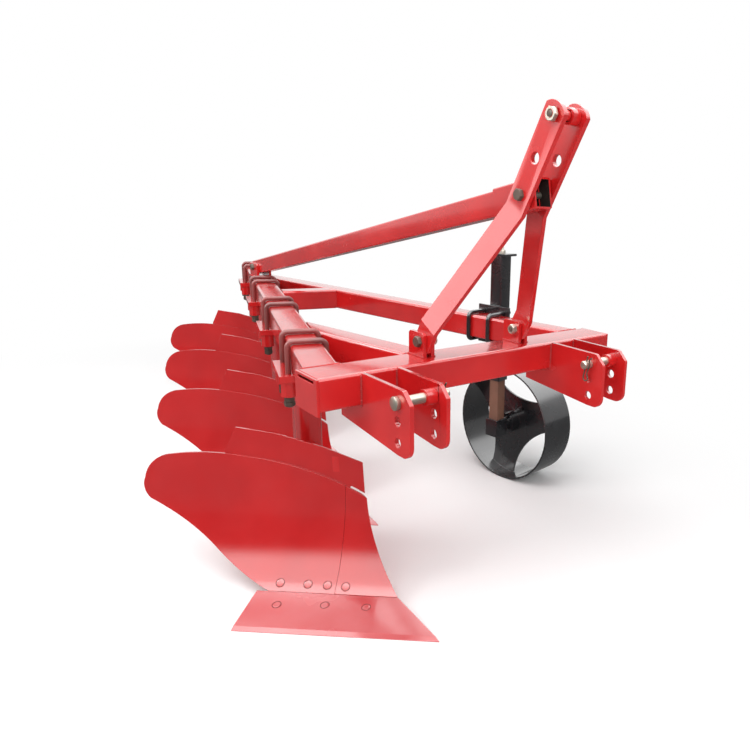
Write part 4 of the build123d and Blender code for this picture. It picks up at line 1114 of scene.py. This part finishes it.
def bead_on_lines():
    """Node group: drops of random size along every line of the mesh."""
    group, into, out = new_group("bead_on_lines", (
        ("Lines", "Geometry"), ("Step", "Float"), ("Radius", "Float"), ("Seed", "Int"),
        ("Finish", "Material"),
    ))
    new, link = group.nodes.new, group.links.new
    curve = new("GeometryNodeMeshToCurve")
    evenly = new("GeometryNodeResampleCurve")
    evenly.mode = "LENGTH"
    drop = new("GeometryNodeMeshIcoSphere")
    drop.inputs["Subdivisions"].default_value = 2
    chance = new("FunctionNodeRandomValue")
    chance.data_type = "FLOAT"
    number_socket(chance.inputs, "Min").default_value = SMALLEST_DROP
    number_socket(chance.inputs, "Max").default_value = LARGEST_DROP
    place = new("GeometryNodeInstanceOnPoints")
    link(into.outputs["Lines"], curve.inputs["Mesh"])
    link(curve.outputs["Curve"], evenly.inputs["Curve"])
    link(into.outputs["Step"], evenly.inputs["Length"])
    link(into.outputs["Radius"], drop.inputs["Radius"])
    link(into.outputs["Seed"], chance.inputs["Seed"])
    link(evenly.outputs["Curve"], place.inputs["Points"])
    link(drop.outputs["Mesh"], place.inputs["Instance"])
    link(number_socket(chance.outputs), place.inputs["Scale"])
    finish_instances(group, place.outputs["Instances"], into, out)
    return group


BEAD_GROUP = bead_on_lines()


def weld(name, lines):
    """Weld beads along these (start, end) lines."""
    points = [point for line in lines for point in line]
    mesh = bpy.data.meshes.new(name)
    mesh.from_pydata([tuple(p) for p in points], [(i, i + 1) for i in range(0, len(points), 2)], [])
    made = link_object(name, mesh)
    bake(made, BEAD_GROUP, {"Step": DROP_STEP, "Radius": DROP_RADIUS, "Seed": DROP_SEED, "Finish": weld_red})
    settle(made, "frame", "red_paint")


HITCH_FACES = (102, 190, 678, 767)
HITCH_PLATE = 10
hitch_lines = []
for face_x in HITCH_FACES:
    for x in (face_x - 0.3, face_x + HITCH_PLATE + 0.3):
        hitch_lines.append((drawn(x, 0.3, -6), drawn(x, 0.3, -74)))
weld("hitch_welds", hitch_lines)
lug_lines = []
for side in (-1, 1):
    for out in (-LUG_OUT, LUG_OUT):
        lug_x = MAST_X + side * FOOT_SPREAD + out
        lug_lines.append((drawn(lug_x, 39, 1), drawn(lug_x, 101, 1)))
weld("lug_welds", lug_lines)

JOINTS = ((19, MAIN_TURN, 80), (273, SIDE_TURN, SIDE_WIDTH), (813.8, SIDE_TURN, SIDE_WIDTH))
joint_lines = []
for edge_x, turn, width in JOINTS:
    start = drawn(edge_x, CROSS_BACK + 1, -2.6)
    joint_lines.append((start, start + X * (width * MM / math.cos(math.radians(turn)))))
weld("joint_welds", joint_lines)
STRUT_WELD_OUT = 31.3 * MM
STRUT_WELD_HALF = 44 * MM
strut_lines = []
for out in (-STRUT_WELD_OUT, STRUT_WELD_OUT):
    middle = STRUT_REAR - UP * STRUT_RISE + STRUT_SIDE * out
    strut_lines.append((middle - STRUT_LEVEL * STRUT_WELD_HALF, middle + STRUT_LEVEL * STRUT_WELD_HALF))
weld("strut_lug_welds", strut_lines)
print("welds laid")

# %% [markdown]
# Two spring clips hold the hitch pins. Each is one wire: a straight leg through the pin, a round
# eye, and a waved leg that grips the pin from outside.

# %% Spring clips
CLIP_WIRE = 1.9 * MM
CLIP_SEGMENTS = 10


def wire_arc(aside, along, radius, degrees):
    """Points of the wire on a circle round this middle."""
    turns = [math.radians(d) for d in degrees]
    return [(aside + radius * math.cos(t), along + radius * math.sin(t)) for t in turns]


CLIP_PATH = [(0, -24), (0, 0), (0, 30)]
CLIP_PATH += wire_arc(-8, 34, 8, range(0, 211, 15))
CLIP_PATH += [(-9.5, 24), (-9, 17), (-10, 10)]
CLIP_PATH += wire_arc(0, 0, 12.8, range(145, 221, 15))
CLIP_PATH += [(-8, -15), (-10, -20), (-15, -25)]


def spring_clip(name, middle, lean):
    """Clip round a pin whose middle is here, hanging at this angle."""
    along = Vector((0, math.sin(lean), -math.cos(lean)))
    aside = Vector((0, math.cos(lean), math.sin(lean)))
    stops = [(middle + (aside * a + along * b) * MM, CLIP_WIRE) for a, b in CLIP_PATH]
    made = link_object(name, bar_mesh(stops, CLIP_SEGMENTS))
    settle(made, "frame", "zinc_steel", paint=nut_brown)


spring_clip("clip_left", drawn(664, PIN_Y, PIN_Z), math.radians(12))
spring_clip("clip_right", drawn(214, PIN_Y, PIN_Z), math.radians(-8))
print("clips bent,", len(CLIP_PATH), "points each")

# %% [markdown]
# The wheel leg is two finishes on one node: a bare bar that rusts, and the black bracket and axle
# below it. The faces are told apart by their height.

# %% Wheel leg
AXLE_HEIGHT = -412
BRACKET_HALF = 31
leg = stand_in("wheel_leg_bar", clean_copy("wheel_leg_bar"))
leg.data.materials.append(black_enamel)
bracket_top = drawn(0, 0, AXLE_HEIGHT + BRACKET_HALF + 0.2).z
for polygon in leg.data.polygons:
    polygon.material_index = 1 if polygon.center.z < bracket_top else 0
soften(leg, 1.5 * MM)
print("leg painted")

# %% [markdown]
# The depth screw stands in the leg tube. Only its threaded end shows, above the cap, with the nut
# that holds it there.

# %% Depth screw
CAP_TOP = 203
SCREW_CORE = 9 * MM
SCREW_THREAD = 8 * MM
screw_low, screw_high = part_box("wheel_screw")
screw_middle = (screw_low + screw_high) / 2


def on_screw(z):
    """Place on the screw's axis at this height in the scene."""
    return Vector((screw_middle.x, screw_middle.y, z))


cap_place = on_screw(drawn(0, 0, CAP_TOP).z)
stops = [(on_screw(screw_low.z), SCREW_CORE), (cap_place, SCREW_CORE)]
stops += thread_stops(cap_place + UP * 0.5 * MM, on_screw(screw_high.z), SCREW_THREAD)
stand_in("wheel_screw", bar_mesh(stops))
put("screw_nut", hex_mesh(24, 12, 16), [(cap_place, UP)], zinc)
print("screw threaded")
